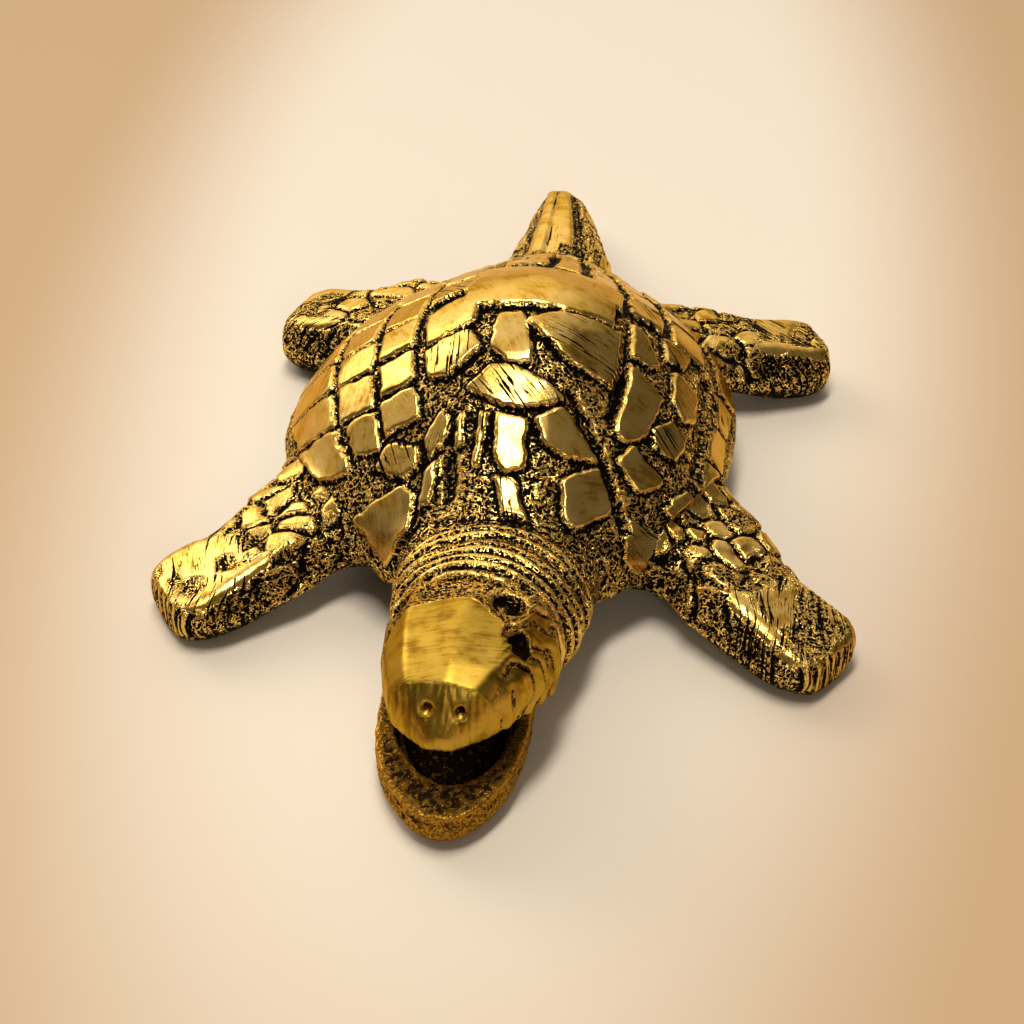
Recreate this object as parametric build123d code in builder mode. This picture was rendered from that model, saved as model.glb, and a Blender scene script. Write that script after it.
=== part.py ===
"""Cast brass turtle figurine with a gaping mouth, about 106 mm from jaw to tail.

The origin is on the floor under the middle of the figure. +Z is up, the head
points along -Y and the tail along +Y, so the turtle's own left is +X.
All lengths are in millimetres.
"""

import os
from math import atan2, cos, degrees, radians, sin

from build123d import *

# Shell: its plan is a rounded oval, a little wider on the turtle's right
shell_front = 23.0
shell_length = 54.0
shell_right_width = 25.8
shell_left_width = 21.8
rim_underside = 5.0
rim_thickness = 2.0
shell_rise = 17.0
shell_wall = 4.0

# Each row is one cross-section from the neck to the tail: its place along the
# shell, the right and left half widths, and the crown's rise over the rim.
shell_section_shares = (
    (0.00, 0.44, 0.50, 0.34),
    (0.09, 0.67, 0.72, 0.51),
    (0.20, 0.86, 0.90, 0.72),
    (0.33, 0.98, 0.98, 0.94),
    (0.44, 1.00, 1.00, 1.00),
    (0.57, 0.94, 1.00, 0.91),
    (0.70, 0.80, 0.89, 0.71),
    (0.83, 0.59, 0.68, 0.48),
    (0.93, 0.37, 0.45, 0.31),
    (1.00, 0.21, 0.25, 0.16),
)
# The dome's height across one side, from the keel out to the rim
dome_profile_shares = ((0.0, 1.0), (0.3, 0.91), (0.6, 0.67), (0.85, 0.35), (1.0, 0.0))

# Scutes, the raised pads on the shell
scute_relief = 0.9
groove_width = 0.9
# Rows bow towards the tail on both sides of a place between the crown and the rim
row_bow = 1.3
row_bow_middle_share = 0.68
# Each column runs between two shares of the half width, where minus is the
# turtle's right, and its rows meet at shares of the shell's length.
scute_column_shares = (
    (-0.975, -0.76, (0.165, 0.262, 0.345, 0.435, 0.53, 0.63, 0.73, 0.83)),
    (-0.76, -0.595, (0.185, 0.262, 0.345, 0.425, 0.51, 0.60, 0.70, 0.80, 0.89)),
    (-0.595, -0.42, (0.205, 0.275, 0.352, 0.44, 0.54, 0.65, 0.76, 0.87)),
    (-0.42, -0.22, (0.465, 0.56, 0.67, 0.78, 0.88)),
    (-0.20, 0.03, (0.64, 0.73, 0.82, 0.91)),
    (0.04, 0.22, (0.64, 0.74, 0.83, 0.92)),
    (0.24, 0.42, (0.50, 0.60, 0.70, 0.80, 0.90)),
    (0.43, 0.62, (0.53, 0.62, 0.71, 0.80, 0.89)),
    (0.63, 0.82, (0.52, 0.62, 0.72, 0.82)),
    (0.87, 0.98, (0.22, 0.31, 0.41, 0.51, 0.61, 0.71, 0.80)),
)
# The pads of the crown and its front slope follow no grid. Each is a run of
# corners in plan, as shares of the shell's width on that side and of its length.
single_scute_shares = (
    ((-0.26, 0.46), (-0.17, 0.43), (0.01, 0.42), (0.20, 0.44), (0.39, 0.44), (0.36, 0.63), (-0.24, 0.64)),
    ((0.01, 0.38), (0.17, 0.42), (0.44, 0.43), (0.45, 0.34), (0.40, 0.25), (0.20, 0.32), (0.06, 0.33)),
    ((-0.12, 0.40), (-0.02, 0.41), (0.04, 0.33), (0.06, 0.30), (-0.06, 0.30), (-0.13, 0.34)),
    ((-0.39, 0.34), (-0.21, 0.37), (-0.16, 0.33), (-0.28, 0.28), (-0.36, 0.29)),
    ((-0.40, 0.43), (-0.28, 0.47), (-0.19, 0.45), (-0.20, 0.39), (-0.38, 0.35)),
    ((-0.18, 0.25), (-0.10, 0.29), (0.0, 0.29), (0.12, 0.27), (0.22, 0.25), (0.06, 0.22), (-0.07, 0.22)),
    ((-0.08, 0.21), (0.05, 0.20), (0.06, 0.12), (-0.02, 0.11), (-0.07, 0.14)),
    ((-0.06, 0.10), (0.03, 0.10), (0.10, 0.03), (-0.02, 0.04)),
    ((0.09, 0.20), (0.22, 0.23), (0.37, 0.17), (0.23, 0.15), (0.13, 0.17)),
    ((0.22, 0.11), (0.40, 0.15), (0.47, 0.10), (0.29, 0.04), (0.25, 0.05)),
    ((0.47, 0.32), (0.50, 0.37), (0.64, 0.34), (0.58, 0.25), (0.50, 0.22), (0.44, 0.23)),
    ((0.61, 0.26), (0.70, 0.31), (0.77, 0.30), (0.73, 0.24), (0.62, 0.24)),
    ((0.48, 0.18), (0.55, 0.22), (0.67, 0.19), (0.59, 0.15), (0.51, 0.16)),
    ((0.71, 0.15), (0.80, 0.21), (0.86, 0.20), (0.84, 0.16), (0.77, 0.14)),
    ((0.68, 0.43), (0.79, 0.42), (0.82, 0.37), (0.75, 0.33), (0.68, 0.36)),
    ((0.46, 0.49), (0.53, 0.48), (0.62, 0.42), (0.57, 0.40), (0.48, 0.40)),
    ((0.61, 0.52), (0.75, 0.51), (0.72, 0.46), (0.64, 0.45)),
    ((0.53, 0.10), (0.69, 0.11), (0.61, 0.05), (0.54, 0.04)),
    ((-0.53, 0.15), (-0.48, 0.19), (-0.36, 0.17), (-0.35, 0.14), (-0.41, 0.12)),
    ((-0.34, 0.17), (-0.28, 0.22), (-0.24, 0.21), (-0.26, 0.16), (-0.32, 0.14)),
    ((-0.33, 0.13), (-0.28, 0.14), (-0.29, 0.07), (-0.34, 0.07)),
    ((-0.60, 0.09), (-0.41, 0.11), (-0.36, 0.09), (-0.37, 0.01), (-0.46, 0.01)),
    ((-0.23, 0.20), (-0.20, 0.21), (-0.18, 0.16), (-0.22, 0.15)),
    ((-0.14, 0.21), (-0.10, 0.21), (-0.12, 0.12), (-0.15, 0.11)),
)

# Belly plate: a step round its underside, and a lip that locates it in the shell
belly_height = 1.2
belly_inset = 2.4
belly_step = 1.2
belly_lip = 1.2
belly_lip_clearance = 0.3

# Legs: heading is measured forwards from straight out to the side
front_heading = 35.0
rear_heading = -22.0
front_root_share = 0.139
rear_root_share = 0.74
front_right_reach = 17.8
front_left_reach = 19.5
rear_right_reach = 11.8
rear_left_reach = 14.8
leg_sink = 8.0
front_half_width = 6.0
rear_right_half_width = 6.1
rear_left_half_width = 5.2
front_height = 6.8
rear_height = 7.6
leg_root_height = 9.6
leg_arch = 2.6
sole_depth = 0.5
leg_root_width_share = 1.5
toe_radius = 1.8
# How far the whole leg is set back towards the tail, and its root besides
front_set_back = 0.0
rear_right_set_back = 2.6
rear_left_set_back = 2.0
root_set_back = 1.2
# From the root on the rim to the toe: the half width, the root's setting back,
# then how far the top and the underside have come down to the height of the foot
leg_section_shares = (
    (0.12, 1.36, 1.0, 0.15, 0.10),
    (0.40, 1.08, 0.4, 0.52, 0.62),
    (0.70, 1.00, 0.1, 0.90, 1.00),
    (0.88, 0.90, 0.0, 1.00, 1.00),
    (1.00, 0.58, 0.0, 1.20, 1.00),
)

# Two flats filed on each leg, its top and its front wall: a spot as shares of the
# reach, the half width and the height, then facing outwards, backwards and up
leg_flat_shares = (
    (0.62, 0.0, 0.95, 0.22, 0.04, 1.0),
    (0.60, -0.80, 0.72, 0.0, -1.0, 0.7),
)

# Tail: a thick blunt cone with two furrows along its top
tail_reach = 22.3
tail_sink = 4.0
tail_half_width = 7.2
tail_height = 9.6
tail_bend = 1.4
tail_root_floor_share = 0.25
tail_top = 12.0
furrow_width = 1.0
furrow_depth = 0.8
furrow_place_share = 0.35
# Along the tail: half width, top and underside
tail_section_shares = (
    (0.00, 1.00, 0.98, 0.20),
    (0.25, 0.82, 0.93, 0.12),
    (0.50, 0.65, 0.85, 0.07),
    (0.75, 0.48, 0.74, 0.05),
    (0.92, 0.32, 0.62, 0.08),
    (1.00, 0.14, 0.46, 0.20),
)

# Neck, head and jaw lie along one axis that turns a little to the turtle's right
head_turn = 5.0
neck_root = 22.0
neck_sink = 5.0
neck_length = 11.0
neck_root_half_width = 10.0
neck_end_half_width = 9.0
neck_root_top = 13.6
neck_end_top = 16.4
neck_root_underside = 3.0
neck_end_underside = 1.0
neck_fold = 0.45
neck_fold_spacing = 2.2
neck_fold_width = 1.3

# Upper head, from the neck to the beak
head_length = 17.0
head_half_width = 8.4
head_height = 17.0
# Place along the head, half width on the right and on the left, underside and
# top: the beak is filed to a point a little to the right of the middle
head_section_shares = (
    (0.00, 1.00, 1.00, 0.376, 0.955),
    (0.24, 1.00, 1.00, 0.376, 1.000),
    (0.42, 0.95, 0.93, 0.470, 1.000),
    (0.68, 0.80, 0.70, 0.535, 0.975),
    (0.83, 0.67, 0.50, 0.560, 0.940),
    (0.92, 0.46, 0.31, 0.575, 0.810),
    (1.00, 0.20, 0.10, 0.580, 0.680),
)
# One side of the head's facets, from the top ridge down: sideways and upwards
head_facet_shares = ((0.0, 1.0), (0.68, 0.90), (0.95, 0.62), (1.0, 0.30), (0.93, 0.0))
# Each eye: its side, place along the head, distance sideways and height
eye_shares = ((1, 0.16, 0.44, 0.93), (-1, 0.16, 0.84, 0.80))
eye_radius = 1.5
eye_bead_radius = 0.9
eye_bead_sink = 1.0
# The hollow in front of each eye
eye_hollow_shares = ((1, 0.43, 0.62, 0.89), (-1, 0.43, 0.92, 0.74))
eye_hollow_radius = 1.2
nostril_radius = 0.5
nostril_depth = 0.6
nostril_place_share = 0.86
nostril_height_share = 0.80
nostril_spacing = 3.0

# Lower jaw, a deep scoop that the beak stands over, its root set over to the turtle's right
jaw_length = 20.0
jaw_half_width = 7.2
jaw_set_over = 1.2
jaw_underside = 0.6
jaw_root_top = head_height * head_section_shares[0][3]
jaw_rim = 4.8
jaw_rim_drop = 0.5
jaw_wall = 1.2
jaw_front_wall = 4.4
jaw_floor = 2.0
jaw_edge_radius = 1.6
scoop_step = 0.9
throat_length = 3.6
rim_slope_length = 3.0
# Place along the jaw and half width
jaw_outline_shares = (
    (0.0, 0.92),
    (0.2, 1.0),
    (0.46, 0.99),
    (0.7, 0.84),
    (0.87, 0.57),
    (0.965, 0.3),
    (1.0, 0.0),
)

# Brazed joints: a round spigot on one casting sits in a socket in the next
spigot_radius = 1.8
spigot_length = 3.2
leg_spigot_height = 7.4
tail_spigot_height = 7.2
neck_spigot_height = 9.0
head_spigot_height = 11.0
jaw_spigot_height = 3.8
braze_gap = 0.05
overrun = 2.0
oval_points = 12

shell_back = shell_length - shell_front
rim_top = rim_underside + rim_thickness


def between(first, last, share):
    """The value that lies a share of the way from first to last."""
    return first + (last - first) * share


def shell_section(place):
    """Right half width, left half width and crown rise at a place along the shell."""
    for low, high in zip(shell_section_shares, shell_section_shares[1:]):
        if place <= high[0]:
            share = (place - low[0]) / (high[0] - low[0])
            right, left, rise = (between(a, b, share) for a, b in zip(low[1:], high[1:]))
            return right * shell_right_width, left * shell_left_width, rise * shell_rise
    raise ValueError(place)


def shell_y(place):
    """Where a place along the shell lies on the Y axis."""
    return shell_length * place - shell_front


def dome_loft(places, grow, floor_height):
    """Lofts the dome through its sections, grown outwards, down to a flat floor."""
    faces = []
    for place in places:
        right, left, rise = shell_section(place)
        crown = rise + grow
        right_side = [(-(right + grow) * out, rim_top + crown * up) for out, up in dome_profile_shares]
        left_side = [((left + grow) * out, rim_top + crown * up) for out, up in dome_profile_shares]
        across = right_side[::-1] + left_side[1:]
        with BuildSketch(Plane.XZ.offset(-shell_y(place))) as section:
            with BuildLine():
                Spline(*across)
                Polyline(across[-1], (across[-1][0], floor_height), (across[0][0], floor_height), across[0])
            make_face()
        faces.append(section.sketch)
    loft(faces)


def limb_loft(axis, sections, mode=Mode.ADD):
    """Lofts ovals along an axis: distance, sideways, half width, underside and top."""
    faces = []
    for distance, sideways, half_width, bottom, top in sections:
        turns = [radians(360 * step / oval_points) for step in range(oval_points)]
        middle = (bottom + top) / 2
        oval = [(sideways + half_width * sin(turn), middle + (top - middle) * cos(turn)) for turn in turns]
        with BuildSketch(axis.offset(distance)) as section:
            with BuildLine():
                Spline(*oval, periodic=True)
            make_face()
        faces.append(section.sketch)
    loft(faces, mode=mode)


def round_bar(axis, height, radius, start, end, mode=Mode.ADD):
    """A round bar along an axis at a height, from one distance to another."""
    with BuildSketch(axis.offset(start)) as section:
        with Locations((0, height)):
            Circle(radius)
    extrude(section.sketch, amount=end - start, mode=mode)


shell_places = [row[0] for row in shell_section_shares]
cavity_places = shell_places[1:-2]

# The smooth dome under the scutes
with BuildPart() as dome:
    dome_loft(shell_places, 0, rim_underside)


def leg_axis(place, side, heading):
    """A plane under the leg's root on the rim, whose normal points along the leg."""
    right, left, _ = shell_section(place)
    along = (side * cos(radians(heading)), -sin(radians(heading)), 0)
    return Plane(
        origin=(left if side > 0 else -right, shell_y(place), 0),
        x_dir=(-along[1], along[0], 0),
        z_dir=along,
    )


def leg_turn(axis):
    """The leg's direction in plan, as a turn from +X."""
    return degrees(atan2(axis.z_dir.Y, axis.z_dir.X))


# Each leg's side and reach, then its root, heading, half width, height and setting back
front_leg = (front_root_share, front_heading, front_half_width, front_height, front_set_back)
rear_right_leg = (rear_root_share, rear_heading, rear_right_half_width, rear_height, rear_right_set_back)
rear_left_leg = (rear_root_share, rear_heading, rear_left_half_width, rear_height, rear_left_set_back)
legs = {
    "front_right_leg": (-1, front_right_reach, *front_leg),
    "front_left_leg": (1, front_left_reach, *front_leg),
    "rear_right_leg": (-1, rear_right_reach, *rear_right_leg),
    "rear_left_leg": (1, rear_left_reach, *rear_left_leg),
}


def scute_corners(inner, outer, front, back):
    """The four corners in plan of one scute, drawn in by half a groove all round."""
    corners = []
    half_groove = groove_width / 2
    for out, place, turn in ((inner, front, 1), (outer, front, 1), (outer, back, -1), (inner, back, -1)):
        right, left, _ = shell_section(place)
        drawn_in = half_groove if out == inner else -half_groove
        bow = row_bow * ((abs(out) - row_bow_middle_share) / (1 - row_bow_middle_share)) ** 2
        half = left if out > 0 else right
        corners.append((out * half + drawn_in, shell_y(place) + bow + turn * half_groove))
    return corners


def pad_corner(out, place):
    """One corner in plan of a pad that follows no grid."""
    return out * (shell_left_width if out > 0 else shell_right_width), shell_y(place)


# The scutes' tops lie on a dome grown by the relief; the limbs' roots have none
with BuildPart() as scutes:
    with BuildSketch(Plane.XY.offset(rim_top)):
        for inner, outer, edges in scute_column_shares:
            for front, back in zip(edges, edges[1:]):
                with BuildLine():
                    Polyline(*scute_corners(inner, outer, front, back), close=True)
                make_face()
        for corners in single_scute_shares:
            with BuildLine():
                Polyline(*(pad_corner(*corner) for corner in corners), close=True)
            make_face()
        for side, _, root, heading, half_width, _, _ in legs.values():
            axis = leg_axis(root, side, heading)
            root_width = 2 * (half_width * leg_root_width_share + groove_width)
            with Locations((axis.origin.X, axis.origin.Y)):
                Rectangle(2 * leg_sink, root_width, rotation=leg_turn(axis), mode=Mode.SUBTRACT)
        with Locations((0, -shell_front)):
            Rectangle(2 * (neck_root_half_width + groove_width), neck_sink, mode=Mode.SUBTRACT)
    extrude(amount=shell_rise + overrun)
    with BuildPart(mode=Mode.PRIVATE) as raised_dome:
        dome_loft(shell_places, scute_relief, rim_underside)
    add(raised_dome.part, mode=Mode.INTERSECT)

# The shell before it is hollowed: the limbs are cut back to it
with BuildPart() as shell_body:
    add(dome.part)
    add(scutes.part)


def shell_outline(places, inset):
    """The shell's outline in plan through some places, drawn in all round by an inset."""
    front, back = shell_y(places[0]), shell_y(places[-1])
    ys = [between(front + inset, back - inset, (shell_y(place) - front) / (back - front)) for place in places]
    right_side = [(inset - shell_section(place)[0], y) for place, y in zip(places, ys)]
    left_side = [(shell_section(place)[1] - inset, y) for place, y in zip(places[::-1], ys[::-1])]
    with BuildSketch() as outline:
        with BuildLine():
            Spline(*right_side)
            Line(right_side[-1], left_side[0])
            Spline(*left_side)
            Line(left_side[-1], right_side[0])
        make_face()
    return outline.sketch


# Belly: a flat plate that closes the shell from below, its lip inside the hollow
belly_layers = (
    (shell_outline(shell_places, belly_inset + belly_step), belly_height, belly_height + belly_step),
    (shell_outline(shell_places, belly_inset), belly_height + belly_step, rim_underside),
    (shell_outline(cavity_places, shell_wall + belly_lip_clearance), rim_underside, rim_underside + belly_lip),
)
with BuildPart() as plastron:
    for outline, bottom, top in belly_layers:
        with BuildSketch(Plane.XY.offset(bottom)):
            add(outline)
        extrude(amount=top - bottom)


def leg_sections(side, reach, half_width, height, set_back):
    """Ovals from inside the shell out to the toe, coming down on to the floor."""
    root_half_width = half_width * leg_root_width_share
    root_sideways = side * (set_back + root_set_back)
    sections = []
    for depth in (-leg_sink, -leg_sink / 2):
        sections.append((depth, root_sideways, root_half_width, leg_arch, leg_root_height))
    for out, wide, back, top_drop, arch_drop in leg_section_shares:
        top = between(leg_root_height, height, top_drop)
        bottom = between(leg_arch, -sole_depth, arch_drop)
        sideways = side * (set_back + root_set_back * back)
        sections.append((reach * out, sideways, half_width * wide, bottom, top))
    return sections


def flat_plane(axis, side, reach, half_width, height, set_back, out, back, up, *facing):
    """The plane of a flat filed on a leg, facing away from the metal that stays."""
    spot = axis.from_local_coords((side * (set_back + half_width * back), height * up, reach * out))
    outwards, backwards, upwards = facing
    direction = axis.z_dir * outwards + axis.x_dir * side * backwards + axis.y_dir * upwards
    return Plane(origin=spot, z_dir=direction)


# Legs: paddles that arch out from under the rim on to flat-filed soles
pieces = {}
sockets = []
for name, (side, reach, root, heading, *sizes) in legs.items():
    axis = leg_axis(root, side, heading)
    with BuildPart() as leg:
        limb_loft(axis, leg_sections(side, reach, *sizes))
        fillet(leg.faces().sort_by(Axis(axis.origin, axis.z_dir))[-1].edges(), toe_radius)
        for spot in leg_flat_shares:
            split(bisect_by=flat_plane(axis, side, reach, *sizes, *spot), keep=Keep.BOTTOM)
        split(bisect_by=Plane.XY, keep=Keep.TOP)
        add(dome.part, mode=Mode.SUBTRACT)
        add(plastron.part, mode=Mode.SUBTRACT)
        round_bar(axis, leg_spigot_height, spigot_radius, -spigot_length, spigot_radius)
    pieces[name] = leg.part
    sockets.append((axis, leg_spigot_height))

# Tail
tail_axis = Plane(origin=(0, shell_back, 0), x_dir=(-1, 0, 0), z_dir=(0, 1, 0))
with BuildPart() as tail:
    tail_sections = [(-tail_sink, 0, tail_half_width, tail_height * tail_root_floor_share, tail_height)]
    for out, wide, top, bottom in tail_section_shares:
        sideways = tail_bend * out * out
        tail_sections.append(
            (tail_reach * out, sideways, tail_half_width * wide, tail_height * bottom, tail_height * top)
        )
    limb_loft(tail_axis, tail_sections)
    for side in (-1, 1):
        furrow = []
        for out, wide, top, _ in tail_section_shares[:-1]:
            middle = tail_bend * out * out + side * tail_half_width * wide * furrow_place_share
            bottom = tail_height * top - furrow_depth
            furrow.append((tail_reach * out, middle, furrow_width / 2, bottom, tail_top))
        limb_loft(tail_axis, furrow, Mode.SUBTRACT)
    add(dome.part, mode=Mode.SUBTRACT)
    add(plastron.part, mode=Mode.SUBTRACT)
    round_bar(tail_axis, tail_spigot_height, spigot_radius, -spigot_length, spigot_radius)
pieces["tail"] = tail.part
sockets.append((tail_axis, tail_spigot_height))

# The head's axis: its normal points forwards, and its own X is the turtle's left
turn_sin = sin(radians(head_turn))
turn_cos = cos(radians(head_turn))
head_forward = (-turn_sin, -turn_cos, 0)
head_left = (turn_cos, -turn_sin, 0)
head_right = (-turn_cos, turn_sin, 0)
head_axis = Plane(origin=(0, -neck_root, 0), x_dir=head_left, z_dir=head_forward)
head_plan = Plane(origin=(0, -neck_root, 0), x_dir=head_forward, z_dir=(0, 0, 1))
head_side = Plane(origin=(0, -neck_root, 0), x_dir=head_forward, z_dir=head_right)


def neck_oval(distance, swell):
    """One cross-section of the neck: distance, sideways, half width, underside and top."""
    share = distance / neck_length
    half_width = between(neck_root_half_width, neck_end_half_width, share)
    bottom = between(neck_root_underside, neck_end_underside, share)
    top = between(neck_root_top, neck_end_top, share)
    return distance, 0, half_width + swell, bottom - swell, top + swell


# Neck: folds of skin, its front face flat where the head and jaw meet it
with BuildPart() as neck:
    limb_loft(head_axis, [neck_oval(distance, 0) for distance in (-neck_sink, 0, neck_length / 2, neck_length)])
    for fold in range(1, int(neck_length / neck_fold_spacing)):
        end = fold * neck_fold_spacing
        limb_loft(head_axis, [neck_oval(distance, neck_fold) for distance in (end - neck_fold_width, end)])
    add(dome.part, mode=Mode.SUBTRACT)
    add(plastron.part, mode=Mode.SUBTRACT)
    round_bar(head_axis, neck_spigot_height, spigot_radius, -spigot_length, spigot_radius)
    for height in (head_spigot_height, jaw_spigot_height):
        depth = spigot_length + braze_gap
        round_bar(head_axis, height, spigot_radius + braze_gap, neck_length - depth, neck_length, Mode.SUBTRACT)
sockets.append((head_axis, neck_spigot_height))


def head_face(place, right, left, low, high):
    """One faceted cross-section of the upper head."""
    heights = [head_height * between(low, high, up) for _, up in head_facet_shares]
    left_side = [(head_half_width * left * out, z) for (out, _), z in zip(head_facet_shares, heights)]
    right_side = [(-head_half_width * right * out, z) for (out, _), z in zip(head_facet_shares, heights)]
    with BuildSketch(head_axis.offset(neck_length + head_length * place)) as section:
        with BuildLine():
            Polyline(*left_side, *right_side[:0:-1], close=True)
        make_face()
    return section.sketch


def head_spot(side, place, out, up, sink):
    """A spot on one side of the head, sunk towards the head's middle."""
    plane = head_axis.offset(neck_length + head_length * place)
    return plane.from_local_coords((side * (head_half_width * out - sink), head_height * up - sink, 0))


# Upper head with its filed facets, sunk eyes and nostrils
with BuildPart() as head:
    loft([head_face(*row) for row in head_section_shares], ruled=True)
    for spots, radius in ((eye_hollow_shares, eye_hollow_radius), (eye_shares, eye_radius)):
        for spot in spots:
            with Locations(head_spot(*spot, 0)):
                Sphere(radius, mode=Mode.SUBTRACT)
    for spot in eye_shares:
        with Locations(head_spot(*spot, eye_bead_sink)):
            Sphere(eye_bead_radius)
    nostril_plane = head_axis.offset(neck_length + head_length * nostril_place_share - nostril_depth)
    with BuildSketch(nostril_plane) as nostrils:
        with Locations((0, head_height * nostril_height_share)):
            with GridLocations(nostril_spacing, 0, 2, 1):
                Circle(nostril_radius)
    extrude(nostrils.sketch, amount=nostril_depth + overrun, mode=Mode.SUBTRACT)
    spigot_end = neck_length + spigot_radius
    round_bar(head_axis, head_spigot_height, spigot_radius, neck_length - spigot_length, spigot_end)
pieces["head"] = head.part


def jaw_face(height, inset, front_inset):
    """The jaw's rounded outline in plan at a height, drawn in at the sides and the front."""
    length = jaw_length - front_inset
    half_width = jaw_half_width - inset
    left_lip, right_lip = [], []
    for out, wide in jaw_outline_shares:
        middle = jaw_set_over * (out * out - 1)
        left_lip.append((neck_length + length * out, middle + half_width * wide))
        right_lip.append((neck_length + length * out, middle - half_width * wide))
    with BuildSketch(head_plan.offset(height)) as outline:
        with BuildLine():
            Spline(*left_lip, *right_lip[-2::-1])
            Line(right_lip[0], left_lip[0])
        make_face()
    return outline.sketch


# Lower jaw: a thick-walled scoop
with BuildPart() as lower_jaw:
    extrude(jaw_face(jaw_underside, 0, 0), amount=jaw_root_top - jaw_underside)
    fillet(lower_jaw.edges().group_by(Axis.Z)[0].filter_by(GeomType.LINE, reverse=True), jaw_edge_radius)
    with BuildPart(mode=Mode.PRIVATE) as scoop:
        for inset in (scoop_step, 0):
            floor = jaw_face(jaw_floor + scoop_step - inset, jaw_wall + inset, jaw_front_wall + inset)
            extrude(floor, amount=jaw_root_top)
        split(bisect_by=head_axis.offset(neck_length + throat_length), keep=Keep.TOP)
    add(scoop.part, mode=Mode.SUBTRACT)
    throat_end = neck_length + throat_length
    jaw_end = neck_length + jaw_length + overrun
    with BuildSketch(head_side):
        with BuildLine():
            Polyline(
                (throat_end, jaw_root_top),
                (throat_end + rim_slope_length, jaw_rim),
                (jaw_end, jaw_rim - jaw_rim_drop),
                (jaw_end, jaw_root_top + overrun),
                (throat_end, jaw_root_top + overrun),
                close=True,
            )
        make_face()
    extrude(amount=jaw_half_width + jaw_set_over + overrun, both=True, mode=Mode.SUBTRACT)
    spigot_end = neck_length + spigot_radius
    round_bar(head_axis, jaw_spigot_height, spigot_radius, neck_length - spigot_length, spigot_end)
pieces["lower_jaw"] = lower_jaw.part
pieces["neck"] = neck.part

# Shell: hollow under the dome, with a socket for each limb
with BuildPart() as carapace:
    add(shell_body.part)
    with BuildPart(mode=Mode.PRIVATE) as hollow:
        dome_loft(cavity_places, -shell_wall, rim_underside)
    add(hollow.part, mode=Mode.SUBTRACT)
    for axis, height in sockets:
        round_bar(axis, height, spigot_radius + braze_gap, -spigot_length - braze_gap, overrun, Mode.SUBTRACT)
pieces["carapace"] = carapace.part
pieces["plastron"] = plastron.part

os.makedirs("parts", exist_ok=True)
for name, shape in pieces.items():
    shape.label = name
    export_step(shape, f"parts/{name}.step")
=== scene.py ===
"""Looks of the cast brass turtle: one continuous sand casting, cut into its pieces at the end.

Everything is laid out in the CAD's frame: the head points along -Y, +X is the
turtle's own left and the feet stand on Z = 0. Shapes are worked out in
millimetres and turned into metres when the pieces are made.
"""

import functools
import math

import bmesh
import bpy
import numpy as np
from mathutils import Matrix, Vector


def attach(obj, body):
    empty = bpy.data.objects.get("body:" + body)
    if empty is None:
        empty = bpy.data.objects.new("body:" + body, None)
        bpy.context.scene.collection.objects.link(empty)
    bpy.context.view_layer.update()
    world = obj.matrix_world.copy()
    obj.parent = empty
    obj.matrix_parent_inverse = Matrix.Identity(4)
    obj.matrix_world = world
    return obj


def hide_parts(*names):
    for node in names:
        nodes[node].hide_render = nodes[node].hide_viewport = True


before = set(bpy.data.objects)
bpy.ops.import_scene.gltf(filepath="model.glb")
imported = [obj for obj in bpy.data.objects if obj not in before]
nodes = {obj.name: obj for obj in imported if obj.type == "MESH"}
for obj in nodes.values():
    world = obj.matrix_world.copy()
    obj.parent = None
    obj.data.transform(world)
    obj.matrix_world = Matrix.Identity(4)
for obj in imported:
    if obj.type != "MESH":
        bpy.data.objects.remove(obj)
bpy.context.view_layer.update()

# Rough casting
# The body before any surface work: a smooth domed shell with the limbs, head
# and belly grown into it, poured as one piece of yellow brass in a sand mould.
SHELL_FRONT = 23.0
SHELL_LENGTH = 54.0
SHELL_RIGHT = 25.8
SHELL_LEFT = 21.8
RIM_UNDERSIDE = 5.0
RIM_TOP = 7.0
SHELL_RISE = 17.0
COARSE_VOXEL = 0.5
# how far the limbs' and the neck's fillets run from their seams, and how soft they are
FILLET_REACH = 7.5
NECK_FILLET_REACH = 3.0
FILLET_ROUNDS = 55
VOXEL = 0.225
# place along the shell, right and left half widths and rise, as shares
SHELL_SECTIONS = np.array(
    (
        (0.00, 0.44, 0.50, 0.34),
        (0.09, 0.67, 0.72, 0.51),
        (0.20, 0.86, 0.90, 0.72),
        (0.33, 0.98, 0.98, 0.94),
        (0.44, 1.00, 1.00, 1.00),
        (0.57, 0.94, 1.00, 0.91),
        (0.70, 0.80, 0.89, 0.71),
        (0.83, 0.59, 0.68, 0.48),
        (0.93, 0.37, 0.45, 0.31),
        (1.00, 0.21, 0.25, 0.16),
    )
)
DOME_PROFILE = np.array(((0.0, 1.0), (0.3, 0.91), (0.6, 0.67), (0.85, 0.35), (1.0, 0.0)))


def cubic(xs, ys):
    """A natural cubic curve through points, as a function over arrays."""
    xs, ys = np.asarray(xs, float), np.asarray(ys, float)
    n, h = len(xs), np.diff(xs)
    a, b = np.eye(n), np.zeros(n)
    for i in range(1, n - 1):
        a[i, i - 1 : i + 2] = h[i - 1], 2 * (h[i - 1] + h[i]), h[i]
        b[i] = 6 * ((ys[i + 1] - ys[i]) / h[i] - (ys[i] - ys[i - 1]) / h[i - 1])
    m = np.linalg.solve(a, b)

    def at(x):
        x = np.clip(x, xs[0], xs[-1])
        i = np.clip(np.searchsorted(xs, x) - 1, 0, n - 2)
        s, t = xs[i + 1] - x, x - xs[i]
        bend = (m[i] * s**3 + m[i + 1] * t**3) / (6 * h[i])
        return bend + (ys[i] / h[i] - m[i] * h[i] / 6) * s + (ys[i + 1] / h[i] - m[i + 1] * h[i] / 6) * t

    return at


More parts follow.
